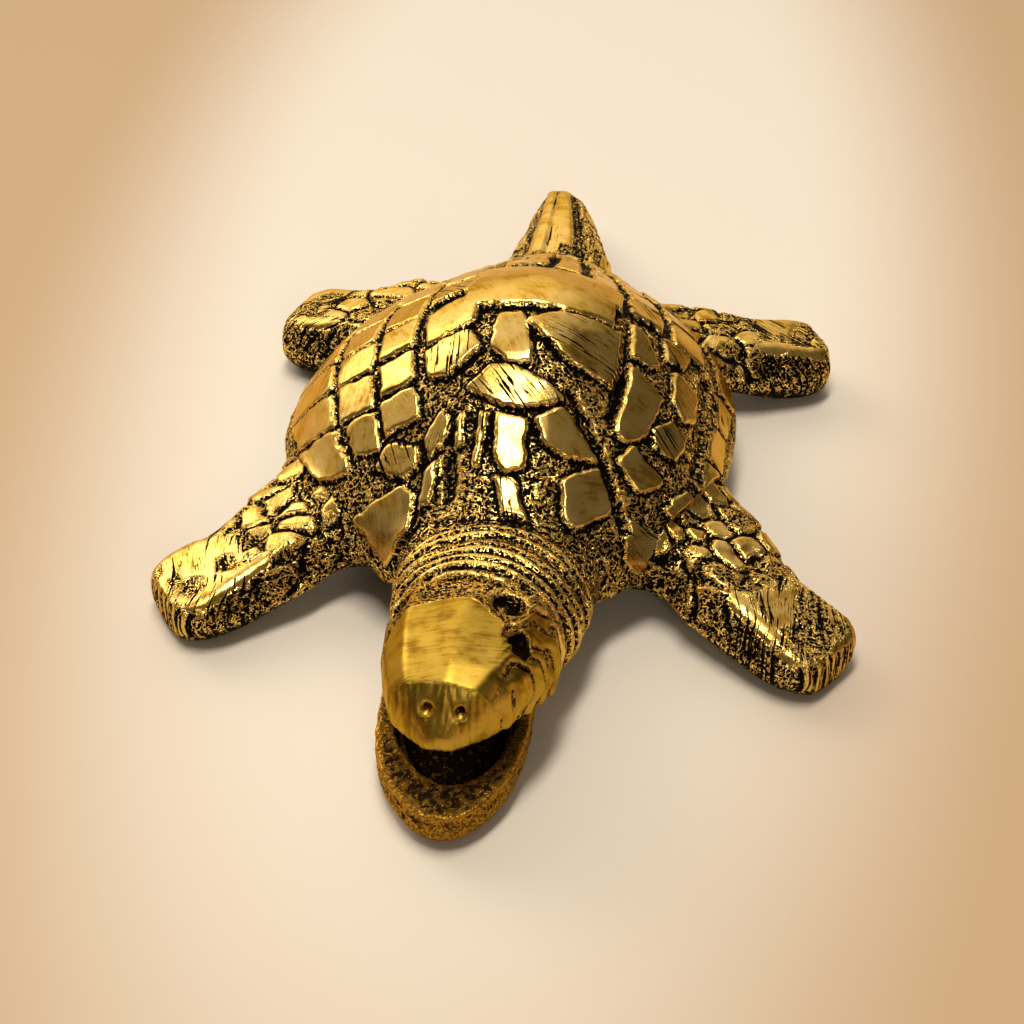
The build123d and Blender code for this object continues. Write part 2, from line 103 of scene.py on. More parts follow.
half_right = cubic(SHELL_SECTIONS[:, 0], SHELL_SECTIONS[:, 1] * SHELL_RIGHT)
half_left = cubic(SHELL_SECTIONS[:, 0], SHELL_SECTIONS[:, 2] * SHELL_LEFT)
rise_at = cubic(SHELL_SECTIONS[:, 0], SHELL_SECTIONS[:, 3] * SHELL_RISE)
mirrored = np.concatenate([DOME_PROFILE[:0:-1] * (-1, 1), DOME_PROFILE])
profile_at = cubic(mirrored[:, 0], mirrored[:, 1])


def shell_place(y):
    return (y + SHELL_FRONT) / SHELL_LENGTH


def shell_share(x, y):
    """How far out towards the rim a point lies, from -1 at the right rim to 1 at the left."""
    place = shell_place(y)
    return x / np.where(x < 0, half_right(place), half_left(place))


def dome_height(x, y):
    return RIM_TOP + rise_at(shell_place(y)) * profile_at(np.minimum(np.abs(shell_share(x, y)), 1.0))


def new_mesh(name, points, faces):
    mesh = bpy.data.meshes.new(name)
    mesh.from_pydata([tuple(p) for p in points], [], [tuple(f) for f in faces])
    mesh.update()
    return mesh


def dome_mesh(across=121, along=141):
    """The smooth shell as a closed solid from its crown down to the rim's underside."""
    u, v = np.meshgrid(np.linspace(-1, 1, across), np.linspace(0, 1, along))
    x = np.where(u < 0, u * half_right(v), u * half_left(v))
    y = v * SHELL_LENGTH - SHELL_FRONT
    top = np.stack([x, y, RIM_TOP + rise_at(v) * profile_at(u)], -1).reshape(-1, 3)
    low = top * (1, 1, 0) + (0, 0, RIM_UNDERSIDE)
    count = across * along
    index = np.arange(count).reshape(along, across)
    quad = [part.ravel() for part in (index[:-1, :-1], index[:-1, 1:], index[1:, 1:], index[1:, :-1])]
    faces = np.concatenate([np.stack(quad, 1), np.stack(quad[::-1], 1) + count])
    edge = np.concatenate([index[0, :-1], index[:-1, -1], index[-1, :0:-1], index[:0:-1, 0]])
    nxt = np.roll(edge, -1)
    sides = np.stack([edge, edge + count, nxt + count, nxt], 1)
    return new_mesh("dome", np.concatenate([top, low]), np.concatenate([faces, sides]))


def cad_copy(bm, name):
    """Adds a merged copy of a CAD node's mesh, in millimetres."""
    copy = nodes[name].data.copy()
    copy.transform(Matrix.Scale(1000, 4))
    single = bmesh.new()
    single.from_mesh(copy)
    bmesh.ops.remove_doubles(single, verts=single.verts, dist=1e-4)
    single.to_mesh(copy)
    single.free()
    bm.from_mesh(copy)
    bpy.data.meshes.remove(copy)


def evaluated(obj):
    """The object's mesh with its modifiers applied, the modifiers then removed."""
    graph = bpy.context.evaluated_depsgraph_get()
    mesh = bpy.data.meshes.new_from_object(obj.evaluated_get(graph))
    obj.modifiers.clear()
    obj.data = mesh
    return mesh


def coords(mesh):
    flat = np.empty(len(mesh.vertices) * 3, np.float32)
    mesh.vertices.foreach_get("co", flat)
    return flat.reshape(-1, 3).astype(float)


def set_coords(mesh, points):
    mesh.vertices.foreach_set("co", points.astype(np.float32).ravel())
    mesh.update()


def normals(mesh):
    flat = np.empty(len(mesh.vertices) * 3, np.float32)
    mesh.vertex_normals.foreach_get("vector", flat)
    return flat.reshape(-1, 3).astype(float)


def edge_pairs(mesh):
    flat = np.empty(len(mesh.edges) * 2, np.int32)
    mesh.edges.foreach_get("vertices", flat)
    return flat.reshape(-1, 2)


def components(count, pairs):
    """A label for each corner, the same for all corners joined by the pairs."""
    label = np.arange(count)
    while True:
        low = np.minimum(label[pairs[:, 0]], label[pairs[:, 1]])
        new = label.copy()
        np.minimum.at(new, pairs[:, 0], low)
        np.minimum.at(new, pairs[:, 1], low)
        new = new[new]
        if (new == label).all():
            return label
        label = new


def largest_shell(mesh):
    """Keeps only the outer skin: hollows closed inside the casting are dropped."""
    label = components(len(mesh.vertices), edge_pairs(mesh))
    keep = label == np.bincount(label).argmax()
    if keep.all():
        return
    bm = bmesh.new()
    bm.from_mesh(mesh)
    bm.verts.ensure_lookup_table()
    bmesh.ops.delete(bm, geom=[bm.verts[i] for i in np.flatnonzero(~keep)], context="VERTS")
    bm.to_mesh(mesh)
    bm.free()


def remeshed(bm, voxel):
    """Everything in the bmesh grown together into one even skin, as an object."""
    mesh = bpy.data.meshes.new("rough_casting")
    bm.to_mesh(mesh)
    bm.free()
    obj = bpy.data.objects.new("rough_casting", mesh)
    bpy.context.scene.collection.objects.link(obj)
    grown = obj.modifiers.new("grown", "REMESH")
    grown.mode = "VOXEL"
    grown.voxel_size = voxel
    largest_shell(evaluated(obj))
    return obj


# Which piece is where
# The real figure is one casting; these rules say which named piece each bit of
# its skin belongs to, and where each limb's own length, width and height run.
HEAD_TURN = math.radians(5.0)
NECK_ROOT = 22.0
NECK_LENGTH = 11.0
PIECES = (
    "carapace",
    "plastron",
    "neck",
    "head",
    "lower_jaw",
    "front_right_leg",
    "front_left_leg",
    "rear_right_leg",
    "rear_left_leg",
    "tail",
)
# place on the shell, side, heading in degrees, reach, half width, height, set back
LEGS = {
    "front_right_leg": (0.139, -1, 35.0, 17.8, 6.0, 6.8, 0.0),
    "front_left_leg": (0.139, 1, 35.0, 19.5, 6.0, 6.8, 0.0),
    "rear_right_leg": (0.74, -1, -22.0, 11.8, 6.1, 7.6, 2.6),
    "rear_left_leg": (0.74, 1, -22.0, 14.8, 5.2, 7.6, 2.0),
}


def leg_frame(name):
    """The leg's root on the rim, and its outward and backward directions."""
    place, side, heading = LEGS[name][:3]
    half = half_left if side > 0 else half_right
    turn = math.radians(heading)
    root = np.array((side * half(np.array(place)), place * SHELL_LENGTH - SHELL_FRONT, 0))
    outward = np.array((side * math.cos(turn), -math.sin(turn), 0))
    backward = np.array((side * math.sin(turn), math.cos(turn), 0))
    return root, outward, backward


def head_coords(p):
    """Distance forwards from the neck's root, and sideways to the turtle's left."""
    flat = p[:, :2] + (0, NECK_ROOT)
    forward = np.array((-math.sin(HEAD_TURN), -math.cos(HEAD_TURN)))
    return flat @ forward, flat @ np.array((-forward[1], forward[0]))


def region_of(p):
    """The index in PIECES of the piece that each point of the skin belongs to."""
    x, y, z = p.T
    out = np.abs(shell_share(x, y))
    place = shell_place(y)
    half = np.where(x < 0, half_right(place), half_left(place))
    inside = (place > -0.005) & (place < 1.005)
    on_dome = inside & (out < 1.03) & (z > RIM_UNDERSIDE - 0.15) & (z - dome_height(x, y) < 0.35)
    under = inside & (z <= RIM_UNDERSIDE + 0.1) & ((1 - out) * half > 1.9)
    region = np.full(len(p), PIECES.index("carapace"))
    for name in LEGS:
        side, heading = LEGS[name][1:3]
        mine = (np.sign(x) == side) & ((y < 2) == (heading > 0))
        region[mine] = PIECES.index(name)
    along, across = head_coords(p)
    front = (along > -8) & (np.abs(across) < 11.6) & (y < -14)
    region[front] = PIECES.index("neck")
    ahead = front & (along > NECK_LENGTH)
    split = np.interp(along, (11, 15, 18, 23, 30), (6.3, 6.0, 6.4, 6.9, 7.1))
    region[ahead & (z > split)] = PIECES.index("head")
    region[ahead & (z <= split)] = PIECES.index("lower_jaw")
    region[(y > 26) & (np.abs(x) < 8.5)] = PIECES.index("tail")
    region[under] = PIECES.index("plastron")
    region[on_dome] = PIECES.index("carapace")
    return region


def smooth_step(low, high, x):
    t = np.clip((x - low) / (high - low), 0, 1)
    return t * t * (3 - 2 * t)


class Skin:
    """The casting's skin as arrays, with the averaging over neighbours that blends and wears it."""

    def __init__(self, mesh):
        self.mesh = mesh
        self.p = coords(mesh)
        self.pairs = edge_pairs(mesh)
        self.count = np.bincount(self.pairs.ravel(), minlength=len(self.p))[:, None]

    def around(self, values):
        a, b = self.pairs.T
        columns = []
        for k in range(values.shape[1]):
            column = values[:, k]
            total = np.bincount(a, column[b], len(self.p)) + np.bincount(b, column[a], len(self.p))
            columns.append(total)
        return np.stack(columns, 1) / np.maximum(self.count, 1)

    def averaged(self, values, rounds):
        for _ in range(rounds):
            values = 0.4 * values + 0.6 * self.around(values)
        return values

    def normals(self):
        set_coords(self.mesh, self.p)
        return normals(self.mesh)


def whole_regions(region, pairs):
    """Each piece keeps its largest patch; stray bits go to the piece around them."""
    a, b = pairs.T
    label = components(len(region), pairs[region[a] == region[b]])
    settled = np.full(len(region), -1)
    for k in range(len(PIECES)):
        mine = region == k
        if mine.any():
            settled[label == np.bincount(label[mine]).argmax()] = k
    while (settled < 0).any():
        before = settled.copy()
        settled[a] = np.where(settled[a] < 0, before[b], settled[a])
        settled[b] = np.where(settled[b] < 0, before[a], settled[b])
    return settled


def seam_weight(skin, seams, steps):
    """One on some of the edges, falling evenly to nothing a number of steps away."""
    a, b = skin.pairs.T
    reach = np.zeros(len(skin.p))
    reach[a[seams]] = 1
    reach[b[seams]] = 1
    near = reach.copy()
    for _ in range(steps):
        spread = reach.copy()
        np.maximum.at(spread, a, reach[b])
        np.maximum.at(spread, b, reach[a])
        near += spread
        reach = spread
    return near / (steps + 1)


# The limbs first, so that they flow out of the shell in wide soft fillets
body_bm = bmesh.new()
body_bm.from_mesh(dome_mesh())
for name in PIECES[1:]:
    if name not in ("head", "lower_jaw"):
        cad_copy(body_bm, name)
coarse = remeshed(body_bm, COARSE_VOXEL)
skin = Skin(coarse.data)
region = whole_regions(region_of(skin.p), skin.pairs)
ends = region[skin.pairs]
crossing = ends[:, 0] != ends[:, 1]
neck_seam = crossing & (ends == PIECES.index("neck")).any(1)
belly_seam = crossing & (ends == PIECES.index("plastron")).any(1)
limb_seam = crossing & ~neck_seam & ~belly_seam
limb_flow = seam_weight(skin, limb_seam, int(FILLET_REACH / COARSE_VOXEL))
neck_flow = seam_weight(skin, neck_seam, int(NECK_FILLET_REACH / COARSE_VOXEL)) * 0.8
flow = smooth_step(0.05, 0.8, np.maximum(limb_flow, neck_flow))
flow = np.maximum(flow, (region == PIECES.index("neck")) * 0.7)[:, None]
for _ in range(FILLET_ROUNDS):
    skin.p += flow * 0.6 * (skin.around(skin.p) - skin.p)
skin.p = skin.averaged(skin.p, 2)
set_coords(coarse.data, skin.p)
rounded = coarse.modifiers.new("rounded", "SUBSURF")
rounded.levels = 1
body_bm = bmesh.new()
body_bm.from_mesh(evaluated(coarse))
bpy.data.objects.remove(coarse)

# Then the head and jaw, which keep their crisp edges
for name in ("head", "lower_jaw"):
    cad_copy(body_bm, name)
body = remeshed(body_bm, VOXEL)
body_mesh = body.data
skin = Skin(body_mesh)
region = whole_regions(region_of(skin.p), skin.pairs)


def rounds_for(radius):
    """How many averaging rounds spread a change over a radius in millimetres."""
    return max(1, int(round((radius / VOXEL) ** 2 / 1.2)))


ends = region[skin.pairs]
head_seam = (ends[:, 0] != ends[:, 1]) & (ends == PIECES.index("neck")).any(1)
flow = smooth_step(0.1, 0.9, seam_weight(skin, head_seam, int(1.8 / VOXEL)))[:, None]
for _ in range(rounds_for(0.9)):
    skin.p += flow * 0.6 * (skin.around(skin.p) - skin.p)
skin.p = skin.averaged(skin.p, 1)


def noise(p, size, seed):
    """Smooth random bumps between -1 and 1 of a given size in millimetres."""
    q = p / size + seed * 17.31
    low = np.floor(q).astype(np.int64)
    f = q - low
    f = f * f * f * (f * (f * 6 - 15) + 10)
    total = np.zeros(len(p))
    for corner in range(8):
        step = np.array([corner & 1, corner >> 1 & 1, corner >> 2 & 1])
        i = low + step
        h = i[:, 0] * 374761393 + i[:, 1] * 668265263 + i[:, 2] * 1274126177 + seed * 951274213
        h = (h ^ (h >> 13)) * 1103515245
        h = (h ^ (h >> 16)) & 0xFFFF
        weight = np.prod(np.where(step, f, 1 - f), 1)
        total += weight * (h / 32767.5 - 1)
    return total


def cells(a, b, size, seed):
    """Irregular cells in a plane: distance to the nearest edge, and a random value per cell."""
    q = np.stack([a, b], 1) / size
    low = np.floor(q).astype(np.int64)
    nearest = np.full(len(q), 9.0)
    second = np.full(len(q), 9.0)
    value = np.zeros(len(q))
    for dx in (-1, 0, 1):
        for dy in (-1, 0, 1):
            i = low + (dx, dy)
            h = i[:, 0] * 374761393 + i[:, 1] * 668265263 + seed * 951274213
            h = (h ^ (h >> 13)) * 1103515245
            jitter = np.stack([(h >> 8) & 0x3FF, (h >> 18) & 0x3FF], 1) / 1023 * 0.8 + 0.1
            d = np.linalg.norm(i + jitter - q, axis=1)
            closer = d < nearest
            second = np.where(closer, nearest, np.minimum(second, d))
            value = np.where(closer, ((h >> 28) & 0xFF) / 255, value)
            nearest = np.where(closer, d, nearest)
    return (second - nearest) * size / 2, value


# Scutes
# Flat pads cut into the shell's wax pattern and filed bright on the casting,
# with dark grooves between them where the sand's grain still shows.
SCUTE_RELIEF = 0.8
GROOVE = 0.95
SINGLE_INSET = 0.12
CORNER_WANDER = 0.22
CUT_DEPTH = 0.55
TILT_PROBE = 0.8
ROW_BOW = 13.0
ROW_BOW_MIDDLE = 0.68
# inner and outer share of the half width, then where rows meet along the shell
SCUTE_COLUMNS = (
    (-0.975, -0.76, (0.165, 0.262, 0.345, 0.435, 0.53, 0.63, 0.73, 0.83)),
    (-0.76, -0.595, (0.185, 0.262, 0.345, 0.425, 0.51, 0.60, 0.70, 0.80, 0.89)),
    (-0.595, -0.42, (0.205, 0.275, 0.352, 0.44, 0.54, 0.65, 0.76, 0.87)),
    (-0.42, -0.22, (0.465, 0.56, 0.67, 0.78, 0.88)),
    (-0.20, 0.03, (0.64, 0.73, 0.82, 0.91)),
    (0.04, 0.22, (0.64, 0.74, 0.83, 0.92)),
    (0.24, 0.42, (0.50, 0.60, 0.70, 0.80, 0.90)),
    (0.43, 0.62, (0.53, 0.62, 0.71, 0.80, 0.89)),
    (0.63, 0.82, (0.52, 0.62, 0.72, 0.82)),
    (0.87, 0.98, (0.22, 0.31, 0.41, 0.51, 0.61, 0.71, 0.80)),
)
# Pads of the crown and its front slope, which follow no grid: corners as shares
# of the shell's width on that side and of its length, then each pad's relief and
# which way it was filed down, towards the turtle's left and its tail
SINGLE_SCUTES = (
    (((-0.26, 0.46), (-0.17, 0.43), (0.01, 0.42), (0.20, 0.44), (0.39, 0.44), (0.36, 0.63), (-0.24, 0.64)),
     0.95, (0.0, 0.03)),
    (((0.01, 0.38), (0.17, 0.42), (0.44, 0.43), (0.45, 0.34), (0.40, 0.25), (0.20, 0.32), (0.06, 0.33)),
     1.0, (0.16, -0.02)),
    (((-0.12, 0.40), (-0.02, 0.41), (0.04, 0.33), (0.06, 0.30), (-0.06, 0.30), (-0.13, 0.34)),
     0.6, (0.03, 0.05)),
    (((-0.39, 0.34), (-0.21, 0.37), (-0.16, 0.33), (-0.28, 0.28), (-0.36, 0.29)),
     1.0, (-0.08, 0.08)),
    (((-0.40, 0.43), (-0.28, 0.47), (-0.19, 0.45), (-0.20, 0.39), (-0.38, 0.35)),
     0.95, (-0.05, 0.04)),
    (((-0.18, 0.25), (-0.10, 0.29), (0.0, 0.29), (0.12, 0.27), (0.22, 0.25), (0.06, 0.22), (-0.07, 0.22)),
     0.85, (0.0, 0.16)),
    (((-0.08, 0.21), (0.05, 0.20), (0.06, 0.12), (-0.02, 0.11), (-0.07, 0.14)),
     0.9, (0.0, 0.1)),
    (((-0.06, 0.10), (0.03, 0.10), (0.10, 0.03), (-0.02, 0.04)),
     0.7, (0.0, 0.05)),
    (((0.09, 0.20), (0.22, 0.23), (0.37, 0.17), (0.23, 0.15), (0.13, 0.17)),
     1.1, (0.1, 0.02)),
    (((0.22, 0.11), (0.40, 0.15), (0.47, 0.10), (0.29, 0.04), (0.25, 0.05)),
     1.1, (0.1, 0.06)),
    (((0.47, 0.32), (0.50, 0.37), (0.64, 0.34), (0.58, 0.25), (0.50, 0.22), (0.44, 0.23)),
     0.95, (0.08, 0.0)),
    (((0.61, 0.26), (0.70, 0.31), (0.77, 0.30), (0.73, 0.24), (0.62, 0.24)),
     0.9, (0.08, 0.0)),
    (((0.48, 0.18), (0.55, 0.22), (0.67, 0.19), (0.59, 0.15), (0.51, 0.16)),
     0.95, (0.08, 0.04)),
    (((0.71, 0.15), (0.80, 0.21), (0.86, 0.20), (0.84, 0.16), (0.77, 0.14)),
     0.85, (0.05, 0.0)),
    (((0.68, 0.43), (0.79, 0.42), (0.82, 0.37), (0.75, 0.33), (0.68, 0.36)),
     0.95, (0.06, 0.0)),
    (((0.46, 0.49), (0.53, 0.48), (0.62, 0.42), (0.57, 0.40), (0.48, 0.40)),
     0.95, (0.05, 0.0)),
    (((0.61, 0.52), (0.75, 0.51), (0.72, 0.46), (0.64, 0.45)),
     0.9, (0.04, 0.0)),
    (((0.53, 0.10), (0.69, 0.11), (0.61, 0.05), (0.54, 0.04)),
     0.6, (0.05, 0.1)),
    (((-0.53, 0.15), (-0.48, 0.19), (-0.36, 0.17), (-0.35, 0.14), (-0.41, 0.12)),
     1.0, (-0.05, 0.04)),
    (((-0.34, 0.17), (-0.28, 0.22), (-0.24, 0.21), (-0.26, 0.16), (-0.32, 0.14)),
     0.95, (-0.04, 0.0)),
    (((-0.33, 0.13), (-0.28, 0.14), (-0.29, 0.07), (-0.34, 0.07)),
     0.9, (-0.04, 0.03)),
    (((-0.60, 0.09), (-0.41, 0.11), (-0.36, 0.09), (-0.37, 0.01), (-0.46, 0.01)),
     0.9, (-0.05, 0.12)),
    (((-0.23, 0.20), (-0.20, 0.21), (-0.18, 0.16), (-0.22, 0.15)),
     0.85, (0.0, 0.0)),
    (((-0.14, 0.21), (-0.10, 0.21), (-0.12, 0.12), (-0.15, 0.11)),
     0.8, (0.0, 0.0)),
)
# Deep cuts between some pads, as runs of points in plan mm
DEEP_CUTS = (
    ((5.4, -9.0), (8.4, -12.8), (11.6, -18.4)),
    ((18.5, 5.0), (18.2, -2.0), (18.3, -9.0)),
    ((-6.0, -15.4), (-5.6, -18.8)),
    ((9.9, 0.8), (10.0, -4.8), (9.3, -9.4)),
)


def column_scutes():
    """Corners in plan of every scute of the regular columns."""
    rng = np.random.default_rng(11)
    for inner, outer, rows in SCUTE_COLUMNS:
        for front, back in zip(rows, rows[1:]):
            corners = []
            for share, place in ((inner, front), (outer, front), (outer, back), (inner, back)):
                half = (half_left if share > 0 else half_right)(np.array(place))
                bow = ROW_BOW * (abs(share) - ROW_BOW_MIDDLE) ** 2
                corner = np.array((share * half, place * SHELL_LENGTH - SHELL_FRONT + bow))
                corners.append(corner + rng.uniform(-CORNER_WANDER, CORNER_WANDER, 2))
            relief, tilt = rng.uniform(0.8, 1.0), rng.uniform(-0.07, 0.07, 2)
            yield np.array(corners), relief, tilt, GROOVE / 2


def plan_spot(share, place):
    """A spot in plan from a share of the shell's width on that side and one of its length."""
    return share * (SHELL_LEFT if share > 0 else SHELL_RIGHT), place * SHELL_LENGTH - SHELL_FRONT


def all_scutes():
    """Corners in plan, relief, tilt and inset of every pad, the single ones last."""
    yield from column_scutes()
    for shares, relief, tilt in SINGLE_SCUTES:
        yield np.array([plan_spot(*spot) for spot in shares]), relief, np.array(tilt), SINGLE_INSET


def polygon_depth(corners, x, y):
    """How far inside a convex polygon each point lies; negative outside."""
    middle = corners.mean(0)
    depth = np.full(len(x), 99.0)
    for a, b in zip(corners, np.roll(corners, -1, 0)):
        inward = np.array((-(b - a)[1], (b - a)[0])) / np.linalg.norm(b - a)
        inward = inward * np.sign((middle - a) @ inward)
        far = (x - a[0]) * inward[0] + (y - a[1]) * inward[1]
        depth = depth - 0.5 * (depth - far + np.sqrt((depth - far) ** 2 + 0.06)) + 0.12
    return depth


n = skin.normals()
x, y, z = skin.p.T
height = dome_height(x, y)
on_shell = (region == 0) & (np.abs(shell_share(x, y)) < 1.01)
shell_weight = on_shell * smooth_step(1.3, 0.5, np.abs(z - height)) * smooth_step(-0.05, 0.25, n[:, 2])
raised = np.zeros(len(x))
pad = np.zeros(len(x))
streak = np.zeros(len(x))
stroke = np.stack([x * 0.3 + y * 0.95, x * 0.95 - y * 0.3], 1)
wobble = 0.16 * noise(skin.p, 1.3, 3) + 0.10 * noise(skin.p, 0.55, 4)
file_rng = np.random.default_rng(23)
for corners, relief, tilt, inset in all_scutes():
    low, high = corners.min(0) - 1.0, corners.max(0) + 1.0
    near = np.flatnonzero(on_shell & (x > low[0]) & (x < high[0]) & (y > low[1]) & (y < high[1]))
    if not len(near):
        continue
    px, py = x[near], y[near]
    depth = polygon_depth(corners, px, py) - inset + wobble[near]
    inside = smooth_step(-0.12, 0.3, depth)
    # the pad's flat top lies along the dome at its middle, tipped the way it was filed
    cx, cy = corners.mean(0)
    beside = np.array((0, 1, -1, 0, 0)) * TILT_PROBE
    behind = np.array((0, 0, 0, 1, -1)) * TILT_PROBE
    h = dome_height(cx + beside, cy + behind)
    slope = np.array((h[1] - h[2], h[3] - h[4])) / 2 / TILT_PROBE - tilt
    plane = h[0] + slope[0] * (px - cx) + slope[1] * (py - cy)
    lift = np.clip(plane - height[near], -0.6, 0.15) * 0.8
    up = inside * (relief * SCUTE_RELIEF + lift) * n[near, 2]
    raised[near] = np.where(inside > pad[near], up, raised[near])
    pad[near] = np.maximum(pad[near], inside)
    # each pad was filed in one direction, some until the strokes cut to the black
    turn = file_rng.uniform(-0.5, 0.5) + (1.35 if cx > 4 and cy < 0 else 0.25)
    cos, sin = math.cos(turn), math.sin(turn)
    turned = np.stack([px * cos + py * sin, py * cos - px * sin], 1)
    stroke[near] = np.where((depth > -0.2)[:, None], turned, stroke[near])
    streak[near] = np.where(depth > -0.2, file_rng.choice((0.0, 0.3, 0.8)), streak[near])


def run_distance(run, x, y):
    """How far each point lies in plan from a run of straight lines."""
    nearest = np.full(len(x), 99.0)
    for a, b in zip(np.array(run), np.array(run[1:])):
        share = np.clip(((x - a[0]) * (b - a)[0] + (y - a[1]) * (b - a)[1]) / ((b - a) @ (b - a)), 0, 1)
        nearest = np.minimum(nearest, np.hypot(x - a[0] - share * (b - a)[0], y - a[1] - share * (b - a)[1]))
    return nearest


# the cuts are as dark as the grooves
pad *= shell_weight
raised *= shell_weight
for run in DEEP_CUTS:
    cut = smooth_step(0.85, 0.25, run_distance(run, x, y) + wobble) * shell_weight
    raised -= cut * CUT_DEPTH
    pad *= 1 - cut
skin.p += n * raised[:, None]

# Limbs and tail
# Scaly skin near the shell; the tops, sides and toes filed down to flats after
# casting, which leaves bright ridges where two flats meet.
SCALE_SIZE = 2.6
SCALE_RELIEF = 0.26
SCALE_GAP_DEPTH = 0.18
TOE_SPACING = 1.15
TOE_GROOVE_DEPTH = 0.16
HOLLOW_DEPTH = 0.22
part = {name: region == PIECES.index(name) for name in PIECES}

# The top flat and the front wall: a spot as shares of the reach, the half width
# and the height, then facing outwards, backwards and up
LEG_FLATS = (
    ((0.62, 0.0, 0.95), (0.22, 0.04, 1.0)),
    ((0.60, -0.80, 0.72), (0.0, -1.0, 0.7)),
)
for number, (name, (_, _, _, reach, half_width, tall, set_back)) in enumerate(LEGS.items()):
    mine = np.flatnonzero(part[name])
    p, nn = skin.p[mine], n[mine]
    root, outward, backward = leg_frame(name)
    along, across = (p - root) @ outward, (p - root) @ backward - set_back
    share = along / reach
    gaps, faces_it = [], []
    for (out, back, up), facing in LEG_FLATS:
        spot = root + outward * out * reach + backward * (back * half_width + set_back) + (0, 0, up * tall)
        direction = outward * facing[0] + backward * facing[1] + np.array((0, 0, facing[2]))
        direction /= np.linalg.norm(direction)
        gaps.append((p - spot) @ direction)
        faces_it.append(nn @ direction)
    top = smooth_step(1.3, 0.5, np.abs(gaps[0])) * smooth_step(0.80, 0.96, faces_it[0])
    ridge = smooth_step(1.5, 0.5, np.hypot(gaps[0], gaps[1])) * smooth_step(0.25, 0.45, share)
    wall = smooth_step(0.6, 0.85, faces_it[1]) * (1 - ridge)
    bent_along, bent_across = along * 0.7 + 0.5 * noise(p, 3, 40), across + 0.5 * noise(p, 3, 41)
    edge, value = cells(bent_along, bent_across, SCALE_SIZE, 31 + number)
    upper = smooth_step(0.1, 0.5, nn[:, 2])
    rooty = smooth_step(0.60, 0.36, share + 0.14 * noise(p, 4, 6)) * (1 - ridge)
    scale = smooth_step(0.06, 0.42, edge + 0.2 * noise(p, 0.9, 5)) * rooty
    gap = smooth_step(0.34, 0.10, edge) * upper * rooty
    patches = smooth_step(-0.30, 0.05, noise(p, 3.4, 44 + number) + 0.45 * noise(p, 1.2, 43))
    upright = smooth_step(0.9, 0.4, nn[:, 2]) * smooth_step(-0.7, -0.1, nn[:, 2])
    tip = smooth_step(0.80, 0.93, share) * upright
    over_toes = (across + 0.25 * noise(p, 1.5, 8)) * 2 * math.pi / TOE_SPACING
    toes = smooth_step(0.1, 1.0, np.cos(over_toes)) * tip
    hollow = smooth_step(0.1, 0.6, noise(p, 2.8, 45 + number)) * (1 - ridge) * upper
    move = scale * upper * SCALE_RELIEF * (0.2 + value) - gap * SCALE_GAP_DEPTH
    move -= toes * TOE_GROOVE_DEPTH + hollow * HOLLOW_DEPTH
    skin.p[mine] += nn * move[:, None]
    worked = np.maximum(upper * (0.45 + 0.5 * patches) * (1 - 0.4 * hollow), tip * (1 - toes) * 0.7)
    pad[mine] = np.maximum(worked * (1 - rooty), scale * upper * smooth_step(0.2, 0.6, value) * 0.95)
    streak[mine] = (1 - rooty) * (0.55 + 0.45 * smooth_step(-0.3, 0.3, noise(p, 3.0, 47)))
    bright_ridge = ridge * smooth_step(-0.7, -0.1, noise(p, 2.4, 46 + number))
    pad[mine] = np.maximum(pad[mine], bright_ridge) * (1 - 0.85 * wall)
    bent = 0.8 * noise(p, 5, 48 + number)
    stroke[mine] = np.stack([along * 0.8 + across * 0.5 + bent, across * 0.8 - along * 0.5], 1)
    stroke[mine] = np.where((tip > 0.5)[:, None], np.stack([across, p[:, 2]], 1), stroke[mine])

# The tail: a furrow on each side of its top, that on the turtle's right all but filed away
TAIL_ROOT = 31.0
TAIL_REACH = 22.3
TAIL_BEND = 1.4
TAIL_HALF_WIDTH = 7.2
FURROW_PLACE = 0.38
FURROW_FILLED = 0.45
FURROW_DEPTH = 0.40
TAIL_SCALE_SIZE = 2.4
TAIL_SCALE_RELIEF = 0.2
mine = np.flatnonzero(part["tail"])
p, nn = skin.p[mine], n[mine]
tail_share = np.clip((p[:, 1] - TAIL_ROOT) / TAIL_REACH, 0, 1)
from_middle = p[:, 0] + TAIL_BEND * tail_share**2
side_share = np.abs(from_middle) / (TAIL_HALF_WIDTH * (1 - 0.6 * tail_share))
edge, value = cells(p[:, 1] * 0.6, p[:, 0], TAIL_SCALE_SIZE, 47)
upper = smooth_step(0.1, 0.5, nn[:, 2])
furrow = smooth_step(0.2, 0.06, np.abs(side_share - FURROW_PLACE))
furrow *= upper * smooth_step(0.97, 0.85, tail_share)
to_left = smooth_step(-1.0, 0.5, from_middle)
scale = smooth_step(0.05, 0.35, edge) * smooth_step(0.55, 0.75, side_share)
furrow_move = furrow * (FURROW_FILLED - (FURROW_FILLED + FURROW_DEPTH) * to_left)
skin.p[mine] += nn * (scale * upper * TAIL_SCALE_RELIEF * value + furrow_move)[:, None]
worn_side = np.where(side_share > 0.55, 0.3 + 0.6 * scale * value, 0.95)
worn_top = upper * smooth_step(-0.9, -0.3, noise(p, 2.6, 12)) * worn_side
pad[mine] = worn_top * (1 - furrow * to_left)
streak[mine] = 0.5
stroke[mine] = np.stack([p[:, 0], p[:, 1]], 1)

